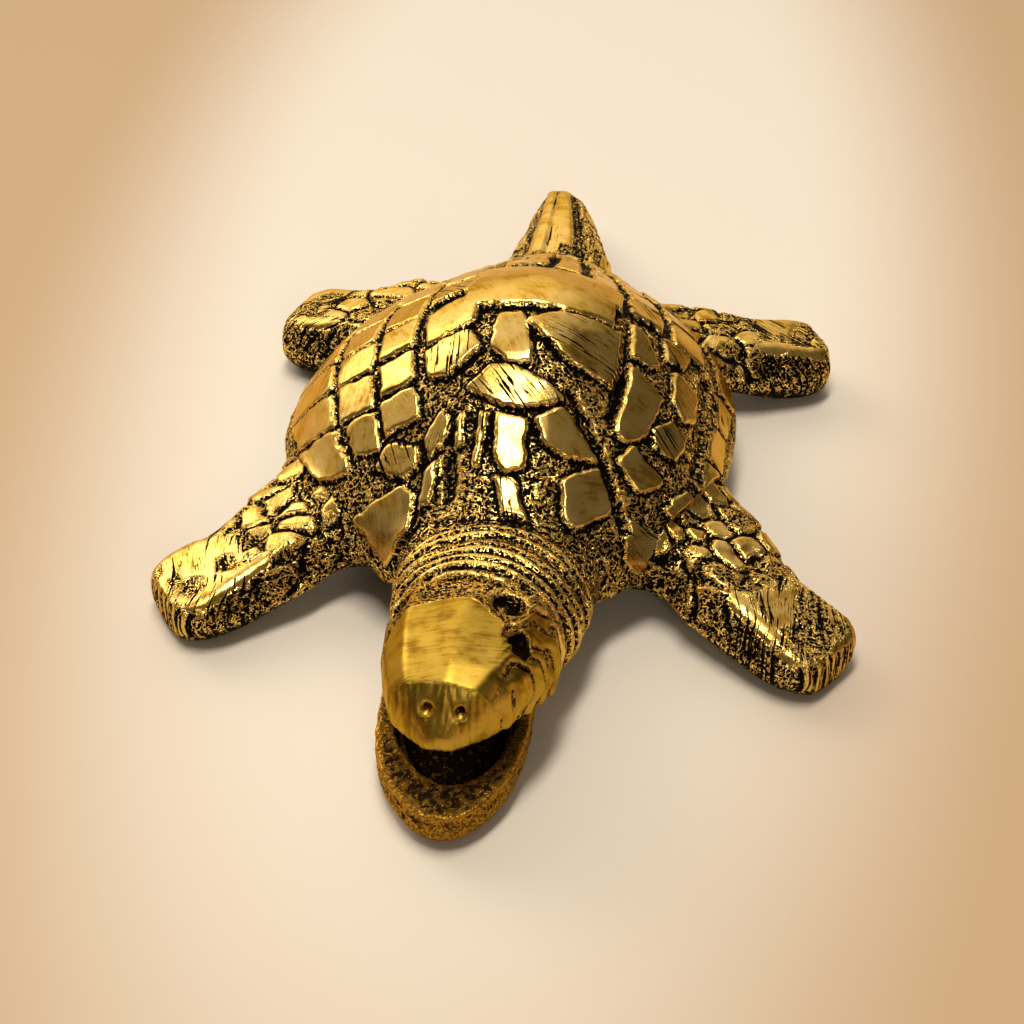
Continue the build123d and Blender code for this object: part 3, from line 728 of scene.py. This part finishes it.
# Neck, head and jaw
# Rolled folds of skin on the neck; a beaked head whose crown, cheeks and front
# were filed to flat facets; a scooped lower jaw left as it came from the sand.
# each fold's place along the neck and its size
NECK_FOLDS = ((0.8, 0.5), (2.6, 0.85), (4.6, 0.5), (5.9, 0.8), (7.2, 0.6), (8.5, 0.75), (9.8, 0.5))
FOLD_HALF_WIDTH = 0.38
FOLD_HEIGHT = 0.75
RIPPLE_SPACING = 1.05
RIPPLE_HEIGHT = 0.2
FILE_CUT_SPACING = 0.8
FILE_CUT_DEPTH = 0.09
mine = np.flatnonzero(part["neck"])
p, nn = skin.p[mine], n[mine]
along, across = head_coords(p)
bend = along - 0.035 * across**2 + 0.7 * noise(p, 5, 13)
fold = np.zeros(len(mine))
for centre, size in NECK_FOLDS:
    fold = np.maximum(fold, size * np.exp(-(((bend - centre) / FOLD_HALF_WIDTH) ** 2)))
fold *= 0.75 + 0.3 * noise(p, 3.5, 14)
skin.p[mine] += nn * ((fold - 0.25) * FOLD_HEIGHT)[:, None]
pad[mine] = smooth_step(0.30, 0.6, fold) * smooth_step(-0.5, -0.1, noise(p, 1.4, 16)) * 0.95
stroke[mine] = np.stack([across, along], 1)


def head_spot(along, across, height):
    """A spot on the head, from the neck's root forwards and to the turtle's left."""
    forward = np.array((-math.sin(HEAD_TURN), -math.cos(HEAD_TURN), 0))
    left = np.array((math.cos(HEAD_TURN), -math.sin(HEAD_TURN), 0))
    return np.array((0, -NECK_ROOT, height)) + forward * along + left * across


# Buffing has rounded the edges where two filed facets meet
along, across = head_coords(skin.p)
buffed = part["head"] * smooth_step(14.0, 16.0, along) * smooth_step(8.0, 9.5, skin.p[:, 2])
for _ in range(rounds_for(0.6)):
    skin.p += buffed[:, None] * 0.6 * (skin.around(skin.p) - skin.p)

mine = np.flatnonzero(part["head"])
p, nn = skin.p[mine], n[mine]
along, across = head_coords(p)
cheek = smooth_step(0.1, 0.5, nn @ np.array((0.97, 0.1, 0.2)))
cheek *= smooth_step(27, 22, along) * smooth_step(3.5, 5.5, across)
over_cheek = along * 0.6 + across * 0.5 + 0.8 * noise(p * (1, 1, 0.4), 1.5, 15)
waves = np.sin(over_cheek * 2 * math.pi / RIPPLE_SPACING)
skin.p[mine] += nn * (cheek * waves * RIPPLE_HEIGHT)[:, None]
plate = along - 14.4 - 0.10 * (across + 1.4) ** 2 + 0.5 * noise(p, 1.3, 19)
plate = np.maximum(smooth_step(-0.3, 0.4, plate), np.maximum(cheek, smooth_step(0.45, 0.2, nn[:, 2])))
pad[mine] = plate * (1.0 - 0.75 * cheek * smooth_step(0.3, 1, -waves))
front = smooth_step(0.35, 0.7, nn @ np.array((-math.sin(HEAD_TURN), -math.cos(HEAD_TURN), 0)))
stroke[mine] = np.where(
    (front > 0.5)[:, None],
    np.stack([across, p[:, 2]], 1),
    np.stack([along + across * 0.25, across - along * 0.25], 1),
)
over_front = (across + 0.5 * noise(p * (1, 1, 0.3), 1.3, 17)) * 2 * math.pi / FILE_CUT_SPACING
cut = smooth_step(0.2, 1.0, np.sin(over_front)) * front
skin.p[mine] -= nn * (cut * FILE_CUT_DEPTH)[:, None]

# The nostrils, mostly filled with metal: the turtle's right one hardly shows
# spot, radius and how fully it is filled, then the dark spots left in them
NOSTRILS = (((25.6, -1.5, 13.6), 1.6, 0.95), ((25.6, 1.5, 13.6), 1.5, 0.8))
NOSTRIL_SPOTS = (((25.4, 1.6, 13.6), 0.55), ((24.9, -1.6, 14.2), 0.35))
for spot, radius, share in NOSTRILS:
    away = np.linalg.norm(skin.p - head_spot(*spot), axis=1)
    near = smooth_step(radius, radius * 0.5, away)[:, None] * share
    for _ in range(rounds_for(0.7)):
        skin.p += near * 0.6 * (skin.around(skin.p) - skin.p)
for spot, radius in NOSTRIL_SPOTS:
    away = np.linalg.norm(skin.p[mine] - head_spot(*spot), axis=1)
    pad[mine] *= 1 - smooth_step(radius * 1.4, radius * 0.7, away)

# The eyes: a bead in a sunk socket, with a dark hollow in front of it
SOCKET_RADIUS, SOCKET_DEPTH = 2.0, 0.5
HOLLOW_RADIUS, HOLLOW_SINK = 1.35, 0.9
BEAD_RADIUS, BEAD_DROP = 1.3, 0.9
# bead, then the hollow's two ends
EYES = (
    ((13.9, 3.2, 15.8), (17.6, 4.7, 15.6), (19.4, 5.4, 13.6)),
    ((13.7, -7.1, 13.6), (17.6, -7.4, 13.2), (19.0, -7.6, 12.0)),
)


def capsule_distance(p, a, b):
    """How far each point lies from the straight line between two spots."""
    share = np.clip((p - a) @ (b - a) / max((b - a) @ (b - a), 1e-9), 0, 1)
    return np.linalg.norm(p - a - share[:, None] * (b - a), axis=1)


for bead, start, end in EYES:
    socket = (bead, bead, SOCKET_RADIUS, SOCKET_DEPTH)
    for a, b, radius, depth in (socket, (start, end, HOLLOW_RADIUS, HOLLOW_SINK)):
        d = capsule_distance(skin.p[mine], head_spot(*a), head_spot(*b)) + 0.4 * noise(skin.p[mine], 1.1, 18)
        dent = smooth_step(radius, radius * 0.35, d)
        skin.p[mine] -= nn * (dent * depth)[:, None]
        pad[mine] *= 1 - 0.97 * smooth_step(radius * 1.1, radius * 0.7, d)
    # buffing has left the bead's top bright
    middle = head_spot(*bead) - (0, 0, BEAD_DROP)
    d = np.linalg.norm(skin.p[mine] - middle, axis=1)
    pad[mine] = np.maximum(pad[mine], smooth_step(BEAD_RADIUS, 0.8, d) * 0.75)

# Neither the jaw nor the belly was filed
pad[part["lower_jaw"] | part["plastron"]] = 0.0

# Cast grain
# The sand mould's grain, left wherever nothing was filed: small rounded bumps
# all over the recesses, the jaw and the undersides.
GRAIN = {"Grain Depth": 0.13, "Grain Size": 0.75, "Seed": 5.0}
# filing takes the grain off the pads, and the head was smoothed all over
grain = np.clip(1.0 - pad * 1.25, 0.03, 1.0)
grain = np.where(part["head"] & (n[:, 2] > -0.3), grain * 0.5, grain)
set_coords(body_mesh, skin.p)


def add_float(mesh, name, values):
    layer = mesh.attributes.new(name, "FLOAT", "POINT")
    layer.data.foreach_set("value", values.astype(np.float32))


add_float(body_mesh, "grain", grain)


def linear(code):
    """An sRGB hex colour as the linear values that the shaders take."""
    parts = [int(code[i : i + 2], 16) / 255 for i in (1, 3, 5)]
    return [p / 12.92 if p <= 0.04045 else ((p + 0.055) / 1.055) ** 2.4 for p in parts] + [1.0]


def add_node(tree, kind, inputs=(), **settings):
    """Adds a node, sets its properties, and sets or links its inputs, in order or by name."""
    node = tree.nodes.new(kind)
    for key, value in settings.items():
        setattr(node, key, value)
    for socket, value in inputs.items() if isinstance(inputs, dict) else enumerate(inputs):
        if isinstance(value, str) and value.startswith("#"):
            value = linear(value)
        if isinstance(value, bpy.types.Node):
            value = value.outputs[2 if value.bl_idname == "ShaderNodeMix" else 0]
        if isinstance(value, bpy.types.NodeSocket):
            tree.links.new(value, node.inputs[socket])
        else:
            node.inputs[socket].default_value = value
    return node


MATHS = "ShaderNodeMath"
RANGE = "ShaderNodeMapRange"


def grain_tree():
    """Geometry nodes: pushes the skin in and out by the sand's grain."""
    tree = bpy.data.node_groups.new("Cast grain", "GeometryNodeTree")
    add = functools.partial(add_node, tree)
    face = tree.interface
    face.new_socket("Geometry", in_out="INPUT", socket_type="NodeSocketGeometry")
    for name, value in GRAIN.items():
        face.new_socket(name, in_out="INPUT", socket_type="NodeSocketFloat").default_value = value
    face.new_socket("Finish", in_out="INPUT", socket_type="NodeSocketMaterial")
    face.new_socket("Geometry", in_out="OUTPUT", socket_type="NodeSocketGeometry")
    start = tree.nodes.new("NodeGroupInput").outputs
    place = add("GeometryNodeInputPosition")
    per_mm = add(MATHS, (1.0, start["Grain Size"]), operation="DIVIDE")
    inputs = {"Vector": place, "W": start["Seed"], "Scale": per_mm, "Detail": 2.5, "Roughness": 0.62}
    bumps = add("ShaderNodeTexNoise", inputs, noise_dimensions="4D")
    centred = add(MATHS, (bumps, 0.5), operation="SUBTRACT")
    sharp = add(MATHS, (centred, 3.4), operation="MULTIPLY")
    held = add("ShaderNodeClamp", (sharp, -1.0, 1.0))
    amount = add("GeometryNodeInputNamedAttribute", {"Name": "grain"}, data_type="FLOAT")
    deep = add(MATHS, (amount, start["Grain Depth"]), operation="MULTIPLY")
    move = add(MATHS, (held, deep), operation="MULTIPLY")
    normal = add("GeometryNodeInputNormal")
    offset = add("ShaderNodeVectorMath", {0: normal, "Scale": move}, operation="SCALE")
    push = add("GeometryNodeSetPosition", {"Geometry": start["Geometry"], "Offset": offset})
    real = add("GeometryNodeRealizeInstances", (push,))
    coat = add("GeometryNodeSetMaterial", {"Geometry": real, "Material": start["Finish"]})
    tree.links.new(coat.outputs[0], tree.nodes.new("NodeGroupOutput").inputs[0])
    return tree


# Antiqued brass
# Yellow brass, blackened all over in a bath and then filed and buffed, so the
# high points are bright and the recesses keep a rough brown-black patina.
# Its patterns' sizes are in millimetres, 1.85 bits of grit to the millimetre and
# so on. The grit is drawn coarser than moulding sand, so that it shows, and the
# strokes are as wide as a file leaves them.
GRIT = 1 / 1.85
SPECK = 1 / 2.7
PIT = 1 / 3.4
BLOTCH = 1 / 0.42
STROKE = 1 / 3.2
FINE_STROKE = 1 / 22
SMOOTH = {"interpolation_type": "SMOOTHSTEP"}


def brass_material():
    """Antiqued cast brass; colour and gloss follow how worn each spot is, and the jaw's brown film and
    painted shade on the head's front darken the colour.
    """
    made = bpy.data.materials.new("antiqued_cast_brass")
    made.use_nodes = True
    tree = made.node_tree
    tree.nodes.clear()
    add = functools.partial(add_node, tree)
    layer = {}
    for name in ("wear", "pad", "jaw_film_head_shade", "streak", "stroke_across", "stroke_along"):
        layer[name] = add("ShaderNodeAttribute", attribute_name=name).outputs["Fac"]
    wear, pads, jaw_film_head_shade = layer["wear"], layer["pad"], layer["jaw_film_head_shade"]
    where = add("ShaderNodeTexCoord").outputs["Object"]
    stroke_at = add("ShaderNodeCombineXYZ", (layer["stroke_across"], layer["stroke_along"]))
    drawn_out = add("ShaderNodeMapping", {"Vector": stroke_at, "Scale": (1.0, 0.07, 1.0)})
    pattern = {}
    for name, vector, scale, detail, roughness in (
        ("grit", where, 1000 / GRIT, 2.5, 0.55),
        ("speck", where, 1000 / SPECK, 2.0, 0.7),
        ("blotch", where, 1000 / BLOTCH, 3.0, 0.6),
        ("pits", where, 1000 / PIT, 3.0, 0.65),
        ("strokes", drawn_out, 1 / STROKE, 3.0, 0.6),
        ("fine", drawn_out, 1 / FINE_STROKE, 2.0, 0.6),
    ):
        inputs = {"Vector": vector, "Scale": scale, "Detail": detail, "Roughness": roughness}
        pattern[name] = add("ShaderNodeTexNoise", inputs)
    strokes = pattern["strokes"]

    # Worm-like lines of bare metal where the sand's grain was only brushed
    centred = add(MATHS, (pattern["grit"], 0.5), operation="SUBTRACT")
    folded = add(MATHS, (centred,), operation="ABSOLUTE")
    worms = add(RANGE, (folded, 0.015, 0.08, 1.0, 0.0), **SMOOTH)
    worm_shift = add(MATHS, (worms, 0.5), operation="SUBTRACT")
    worm_share = add(RANGE, (pads, 0.3, 0.9, 0.50, 0.05), **SMOOTH)
    speckle = add(MATHS, (pattern["speck"], 0.5), operation="SUBTRACT")
    speckle_share = add(RANGE, (pads, 0.3, 0.95, 1.1, 0.2), **SMOOTH)
    blotch = add(MATHS, (pattern["blotch"], 0.5), operation="SUBTRACT")
    level = add(MATHS, (speckle, speckle_share, wear), operation="MULTIPLY_ADD")
    level = add(MATHS, (worm_shift, worm_share, level), operation="MULTIPLY_ADD")
    level = add(MATHS, (blotch, 0.3, level), operation="MULTIPLY_ADD")
    # The file's strokes cut through to the black here and there
    dark = add(RANGE, (strokes, 0.47, 0.62, 0.0, 0.75), **SMOOTH)
    dark_lines = add(MATHS, (dark, layer["streak"]), operation="MULTIPLY")
    level = add(MATHS, (level, dark_lines), operation="SUBTRACT")
    bright = add(RANGE, (level, 0.45, 0.54), **SMOOTH)
    # The unfiled jaw keeps a brown-gold film all over, except in its scoop
    on_jaw = add(RANGE, (jaw_film_head_shade, 0.7, 1.0), **SMOOTH)
    spared = add(RANGE, (wear, 0.2, 0.42, 0.0, 0.32), **SMOOTH)
    unfiled = add(MATHS, (on_jaw, spared), operation="MULTIPLY")
    bright = add(MATHS, (bright, unfiled), operation="MAXIMUM")
    flat = add(RANGE, (pads, 0.5, 0.95), **SMOOTH)
    filed = add(MATHS, (flat, bright), operation="MULTIPLY")

    # Polished metal, toned by a thin brown oxide; a darker satin colour for the jaw's film and, on the head,
    # painted shade; black in the recesses
    buffed = add(RANGE, (blotch, -0.25, 0.3), **SMOOTH)
    polished = add("ShaderNodeMix", {0: buffed, 6: "#DFB04C", 7: "#EFCB7C"}, data_type="RGBA")
    cloudy = add(MATHS, (blotch, 0.7), operation="MULTIPLY")
    oxide = add(MATHS, (strokes, 0.45, cloudy), operation="MULTIPLY_ADD")
    clean = add(RANGE, (oxide, 0.02, 0.22), **SMOOTH)
    toned = add("ShaderNodeMix", {0: clean, 6: "#B0843A", 7: polished}, data_type="RGBA")
    clean = add(RANGE, (oxide, 0.08, 0.3), **SMOOTH)
    satin_film_and_shade = add("ShaderNodeMix", {0: clean, 6: "#7A5A12", 7: "#B08C22"}, data_type="RGBA")
    # The jaw's brown film, and painted shade on the head's front: the satin, bare and black colours all turn
    # darker there
    film_and_shade_share = add(MATHS, (jaw_film_head_shade, 1.1), operation="MULTIPLY", use_clamp=True)
    toned = add("ShaderNodeMix", {0: film_and_shade_share, 6: toned, 7: satin_film_and_shade}, data_type="RGBA")
    bare = add("ShaderNodeMix", {0: jaw_film_head_shade, 6: "#F4CB6C", 7: "#BE8A30"}, data_type="RGBA")
    worn = add("ShaderNodeMix", {0: filed, 6: bare, 7: toned}, data_type="RGBA")
    black = add("ShaderNodeMix", {0: jaw_film_head_shade, 6: "#040200", 7: "#21140A"}, data_type="RGBA")
    colour = add("ShaderNodeMix", {0: bright, 6: black, 7: worn}, data_type="RGBA")
    metal = add(RANGE, (bright, 0.0, 0.6), **SMOOTH)

    # Bright metal is glossy along its strokes and duller on the jaw's film and where the head's shade is
    # painted; the black is matt
    gloss = add(RANGE, (filed, 0.0, 1.0, 0.15, 0.17), **SMOOTH)
    gloss = add(MATHS, (strokes, 0.14, gloss), operation="MULTIPLY_ADD")
    gloss = add(MATHS, (jaw_film_head_shade, 0.14, gloss), operation="MULTIPLY_ADD")
    matt = add(RANGE, (bright, 0.0, 1.0, 0.65, 0.0), **SMOOTH)
    rough = add(MATHS, (gloss, bright, matt), operation="MULTIPLY_ADD")
    marks = add(MATHS, (pattern["fine"], 0.4, strokes), operation="MULTIPLY_ADD")
    mark_depth = add(RANGE, (filed, 0.0, 1.0, 0.0, 0.32), **SMOOTH)
    pit_depth = add(RANGE, (filed, 0.0, 1.0, 0.5, 0.05), **SMOOTH)
    grit_depth = add(RANGE, (pads, 0.3, 0.9, 1.7, 0.0), **SMOOTH)
    relief = add(MATHS, (marks, mark_depth), operation="MULTIPLY")
    relief = add(MATHS, (pattern["pits"], pit_depth, relief), operation="MULTIPLY_ADD")
    relief = add(MATHS, (worms, grit_depth, relief), operation="MULTIPLY_ADD")
    bump = add("ShaderNodeBump", {"Height": relief, "Strength": 0.8, "Distance": 0.00011})
    inputs = {"Base Color": colour, "Metallic": metal, "Roughness": rough, "Normal": bump}
    inputs.update({"Specular Tint": "#F8DFA6", "Specular IOR Level": 0.06})
    shader = add("ShaderNodeBsdfPrincipled", inputs)
    add("ShaderNodeOutputMaterial", (shader,))
    return made


brass = brass_material()
tree = grain_tree()
pour = body.modifiers.new("Cast grain", "NODES")
pour.node_group = tree
named = {item.name: item.identifier for item in tree.interface.items_tree if item.in_out == "INPUT"}
for name, value in GRAIN.items():
    pour[named[name]] = value
pour[named["Finish"]] = brass
body_mesh = evaluated(body)
skin = Skin(body_mesh)

# How far each spot stands proud of its surroundings decides how bright it was
# buffed: per mm above what lies within 0.45 mm of it, and above a wider ring
PROUD_OF_NEAR = 4.2
PROUD_OF_WIDE = 1.2
n = skin.normals()
local = np.einsum("ij,ij->i", skin.p - skin.averaged(skin.p, rounds_for(0.45)), n)
broad = np.einsum("ij,ij->i", skin.p - skin.averaged(skin.p, rounds_for(1.3)), n)
wear = 0.5 + PROUD_OF_NEAR * local + PROUD_OF_WIDE * broad
# on a filed pad its own brightness counts for three quarters
wear = wear * (1 - 0.75 * pad) + 0.75 * pad * (0.62 + 0.4 * pad + PROUD_OF_WIDE * broad)
# undersides, the grooves beside pads, the mouth, the scoop, leg walls and belly stay darker
wear -= 0.18 * smooth_step(0.0, -0.8, n[:, 2])
reach = skin.averaged(np.stack([pad, pad], 1), rounds_for(0.9))[:, 0]
wear = np.where(part["carapace"], wear - 0.24 * (1 - pad) * smooth_step(0.15, 0.6, reach), wear)
along, across = head_coords(skin.p)
inside_mouth = (along > 13.5) & (skin.p[:, 2] < 8.8) & part["head"] & (n[:, 2] < -0.2)
wear = np.where(inside_mouth, wear - 0.5, wear)
scoop = part["lower_jaw"] & (n[:, 2] > 0.1) & (skin.p[:, 2] < 4.0)
wear = np.where(scoop, wear - 0.35, wear)
wear = np.where(part["lower_jaw"] & ~scoop, wear - 0.05 - 0.2 * smooth_step(0.2, 0.8, n[:, 2]), wear)
on_leg = part["front_right_leg"] | part["front_left_leg"] | part["rear_right_leg"] | part["rear_left_leg"]
wear = np.where(on_leg, wear - 0.2 * smooth_step(0.8, 0.3, n[:, 2]) * (1 - 0.6 * pad), wear)
wear = np.where(part["plastron"], wear - 0.2, wear)
wear = np.clip(wear, 0, 1)
# The jaw's brown film; on the head the same attribute is painted shade, darker towards the head's front
jaw_film_head_shade = np.where(part["lower_jaw"], 1.0, np.where(part["head"], 0.75 * smooth_step(12.2, 14.5, along), 0.0))

# The pieces
# The finished skin is parted along the seams, and each piece closed behind.
totals = np.empty(len(body_mesh.polygons), np.int32)
body_mesh.polygons.foreach_get("loop_total", totals)
corner = np.empty(len(body_mesh.loops), np.int32)
body_mesh.loops.foreach_get("vertex_index", corner)
starts = np.concatenate([[0], np.cumsum(totals)[:-1]])
face_region = region[corner[starts]]
values = {
    "wear": wear,
    "pad": pad,
    "stroke_across": stroke[:, 0],
    "stroke_along": stroke[:, 1],
    "jaw_film_head_shade": jaw_film_head_shade,
    "streak": streak,
}


def open_loops(polygons):
    """The rings of corners round the open edges of a patch of skin."""
    start = np.concatenate(polygons)
    end = np.concatenate([np.roll(f, -1) for f in polygons])
    there = set(zip(start.tolist(), end.tolist()))
    onward = {}
    for a, b in there:
        if (b, a) not in there:
            onward.setdefault(b, []).append(a)
    while onward:
        ring = [next(iter(onward))]
        while ring:
            goes = onward[ring[-1]]
            nxt = goes.pop()
            if not goes:
                del onward[ring[-1]]
            if nxt in ring:
                cut = ring.index(nxt)
                yield ring[cut:]
                ring = ring[: cut + 1] if cut else []
                if ring and ring[-1] not in onward:
                    ring = []
            else:
                ring.append(nxt)


def cut_piece(name):
    """One piece of the skin as a closed mesh in metres, shaded like the whole casting."""
    chosen = np.flatnonzero(face_region == PIECES.index(name))
    polygons = [corner[starts[i] : starts[i] + totals[i]] for i in chosen]
    used, flat = np.unique(np.concatenate(polygons), return_inverse=True)
    ends = np.cumsum([len(f) for f in polygons])
    remapped = [flat[e - len(f) : e] for e, f in zip(ends, polygons)]
    points = skin.p[used]
    shading = [n[used][np.concatenate(remapped)]]
    middles, caps = [], []
    for ring in open_loops(remapped):
        middle = points[ring].mean(0)
        for a, b in zip(ring, ring[1:] + ring[:1]):
            caps.append((a, b, len(points) + len(middles)))
            facing = np.cross(points[b] - points[a], middle - points[a])
            shading.append(np.repeat([facing / (np.linalg.norm(facing) + 1e-9)], 3, 0))
        middles.append(middle)
    everywhere = np.concatenate([points, np.array(middles).reshape(-1, 3)])
    mesh = new_mesh(name, everywhere * 0.001, remapped + caps)
    mesh.shade_smooth()
    for key, array in values.items():
        add_float(mesh, key, np.concatenate([array[used], np.zeros(len(middles))]))
    mesh.materials.append(brass)
    mesh.normals_split_custom_set(np.concatenate(shading).tolist())
    piece = bpy.data.objects.new("brass_" + name, mesh)
    bpy.context.scene.collection.objects.link(piece)
    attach(piece, "root")
    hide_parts(name)


for name in PIECES:
    cut_piece(name)
bpy.data.objects.remove(body)

# Studio
# A plain warm paper sweep with painted light falloff, under soft boxes, seen from above the turtle's nose.


def paper_material():
    """Matt warm paper with painted light falloff, darker towards the sides and the front of the picture."""
    made = bpy.data.materials.new("warm_paper")
    made.use_nodes = True
    tree = made.node_tree
    tree.nodes.clear()
    add = functools.partial(add_node, tree)
    where = add("ShaderNodeTexCoord").outputs["Object"]
    inputs = {"Vector": where, "Location": (-0.003, 0.045, 0.0), "Scale": (0.060, 0.172, 1.0)}
    oval = add("ShaderNodeMapping", inputs, vector_type="TEXTURE")
    away = add("ShaderNodeVectorMath", (oval,), operation="LENGTH").outputs["Value"]
    # painted light falloff: the paper's colour darkens away from a bright oval round the turtle
    painted_falloff = add(RANGE, (away, 0.50, 1.05), **SMOOTH)
    paper_with_painted_falloff = add("ShaderNodeMix", {0: painted_falloff, 6: "#F0E4D2", 7: "#C9A984"}, data_type="RGBA")
    shader = add("ShaderNodeBsdfPrincipled", {"Base Color": paper_with_painted_falloff, "Roughness": 0.9})
    add("ShaderNodeOutputMaterial", (shader,))
    return made


sheet = new_mesh("floor", [(-3, -3, 0), (3, -3, 0), (3, 3, 0), (-3, 3, 0)], [(0, 1, 2, 3)])
floor = bpy.data.objects.new("floor", sheet)
floor.data.materials.append(paper_material())
bpy.context.scene.collection.objects.link(floor)


def soft_box(name, place, aim, width, depth, power, colour="#FFFFFF"):
    """A rectangular soft box at a place in metres, facing an aim."""
    lamp = bpy.data.lights.new(name, "AREA")
    lamp.shape = "RECTANGLE"
    lamp.size, lamp.size_y = width, depth
    lamp.energy = power
    lamp.color = linear(colour)[:3]
    box = bpy.data.objects.new(name, lamp)
    box.location = place
    box.rotation_mode = "QUATERNION"
    box.rotation_quaternion = (Vector(aim) - Vector(place)).to_track_quat("-Z", "Y")
    bpy.context.scene.collection.objects.link(box)


soft_box("strip_box", (-0.02, -0.05, 0.55), (0, 0, 0.01), 0.08, 0.30, 1.9, "#FFFAF2")
soft_box("left_box", (-0.42, 0.30, 0.34), (0, 0, 0.01), 0.30, 0.30, 0.9, "#FFF6E8")
soft_box("front_box", (0.16, -0.50, 0.30), (0, -0.02, 0.01), 0.12, 0.12, 0.35, "#FFF3E0")

# The room: bright behind the turtle's right, dim behind its left and in front
FAINT_GLOW = 0.08
# each lobe's direction, the cosines between which it fades in, and its strength
LOBES = (
    ((-0.55, 0.78, 0.30), 0.45, 0.97, 0.92),
    ((-0.05, 0.77, 0.64), 0.72, 0.99, 0.42),
    ((0.0, 0.0, 1.0), -0.4, 1.0, 0.06),
)
world = bpy.data.worlds.new("studio")
bpy.context.scene.world = world
world.use_nodes = True
tree = world.node_tree
tree.nodes.clear()
add = functools.partial(add_node, tree)
heading = add("ShaderNodeTexCoord").outputs["Generated"]
total = FAINT_GLOW
for aim, narrow, wide, strength in LOBES:
    towards = Vector(aim).normalized()
    lobe = add("ShaderNodeVectorMath", (heading, towards), operation="DOT_PRODUCT")
    inputs = (lobe.outputs["Value"], narrow, wide, 0.0, strength)
    glow = add(RANGE, inputs, **SMOOTH)
    total = add(MATHS, (total, glow), operation="ADD")
sky = add("ShaderNodeBackground", {"Color": "#FBF0E0", "Strength": total})
add("ShaderNodeOutputWorld", (sky,))

# The camera, fitted to the photo
azimuth, elevation, distance = math.radians(6.5), math.radians(39.6), 0.260
looked_at = Vector((-0.0004, -0.0105, 0.006))
level_back = Vector((math.sin(azimuth), -math.cos(azimuth), 0))
back = level_back * math.cos(elevation) + Vector((0, 0, math.sin(elevation)))
lens = bpy.data.cameras.new("camera")
lens.lens = 88.56
lens.sensor_width = 36.0
lens.clip_start = 0.01
camera = bpy.data.objects.new("camera", lens)
camera.location = looked_at + back * distance
camera.rotation_mode = "QUATERNION"
camera.rotation_quaternion = (-back).to_track_quat("-Z", "Y")
bpy.context.scene.collection.objects.link(camera)
bpy.context.scene.camera = camera
bpy.context.scene.view_settings.view_transform = "Standard"
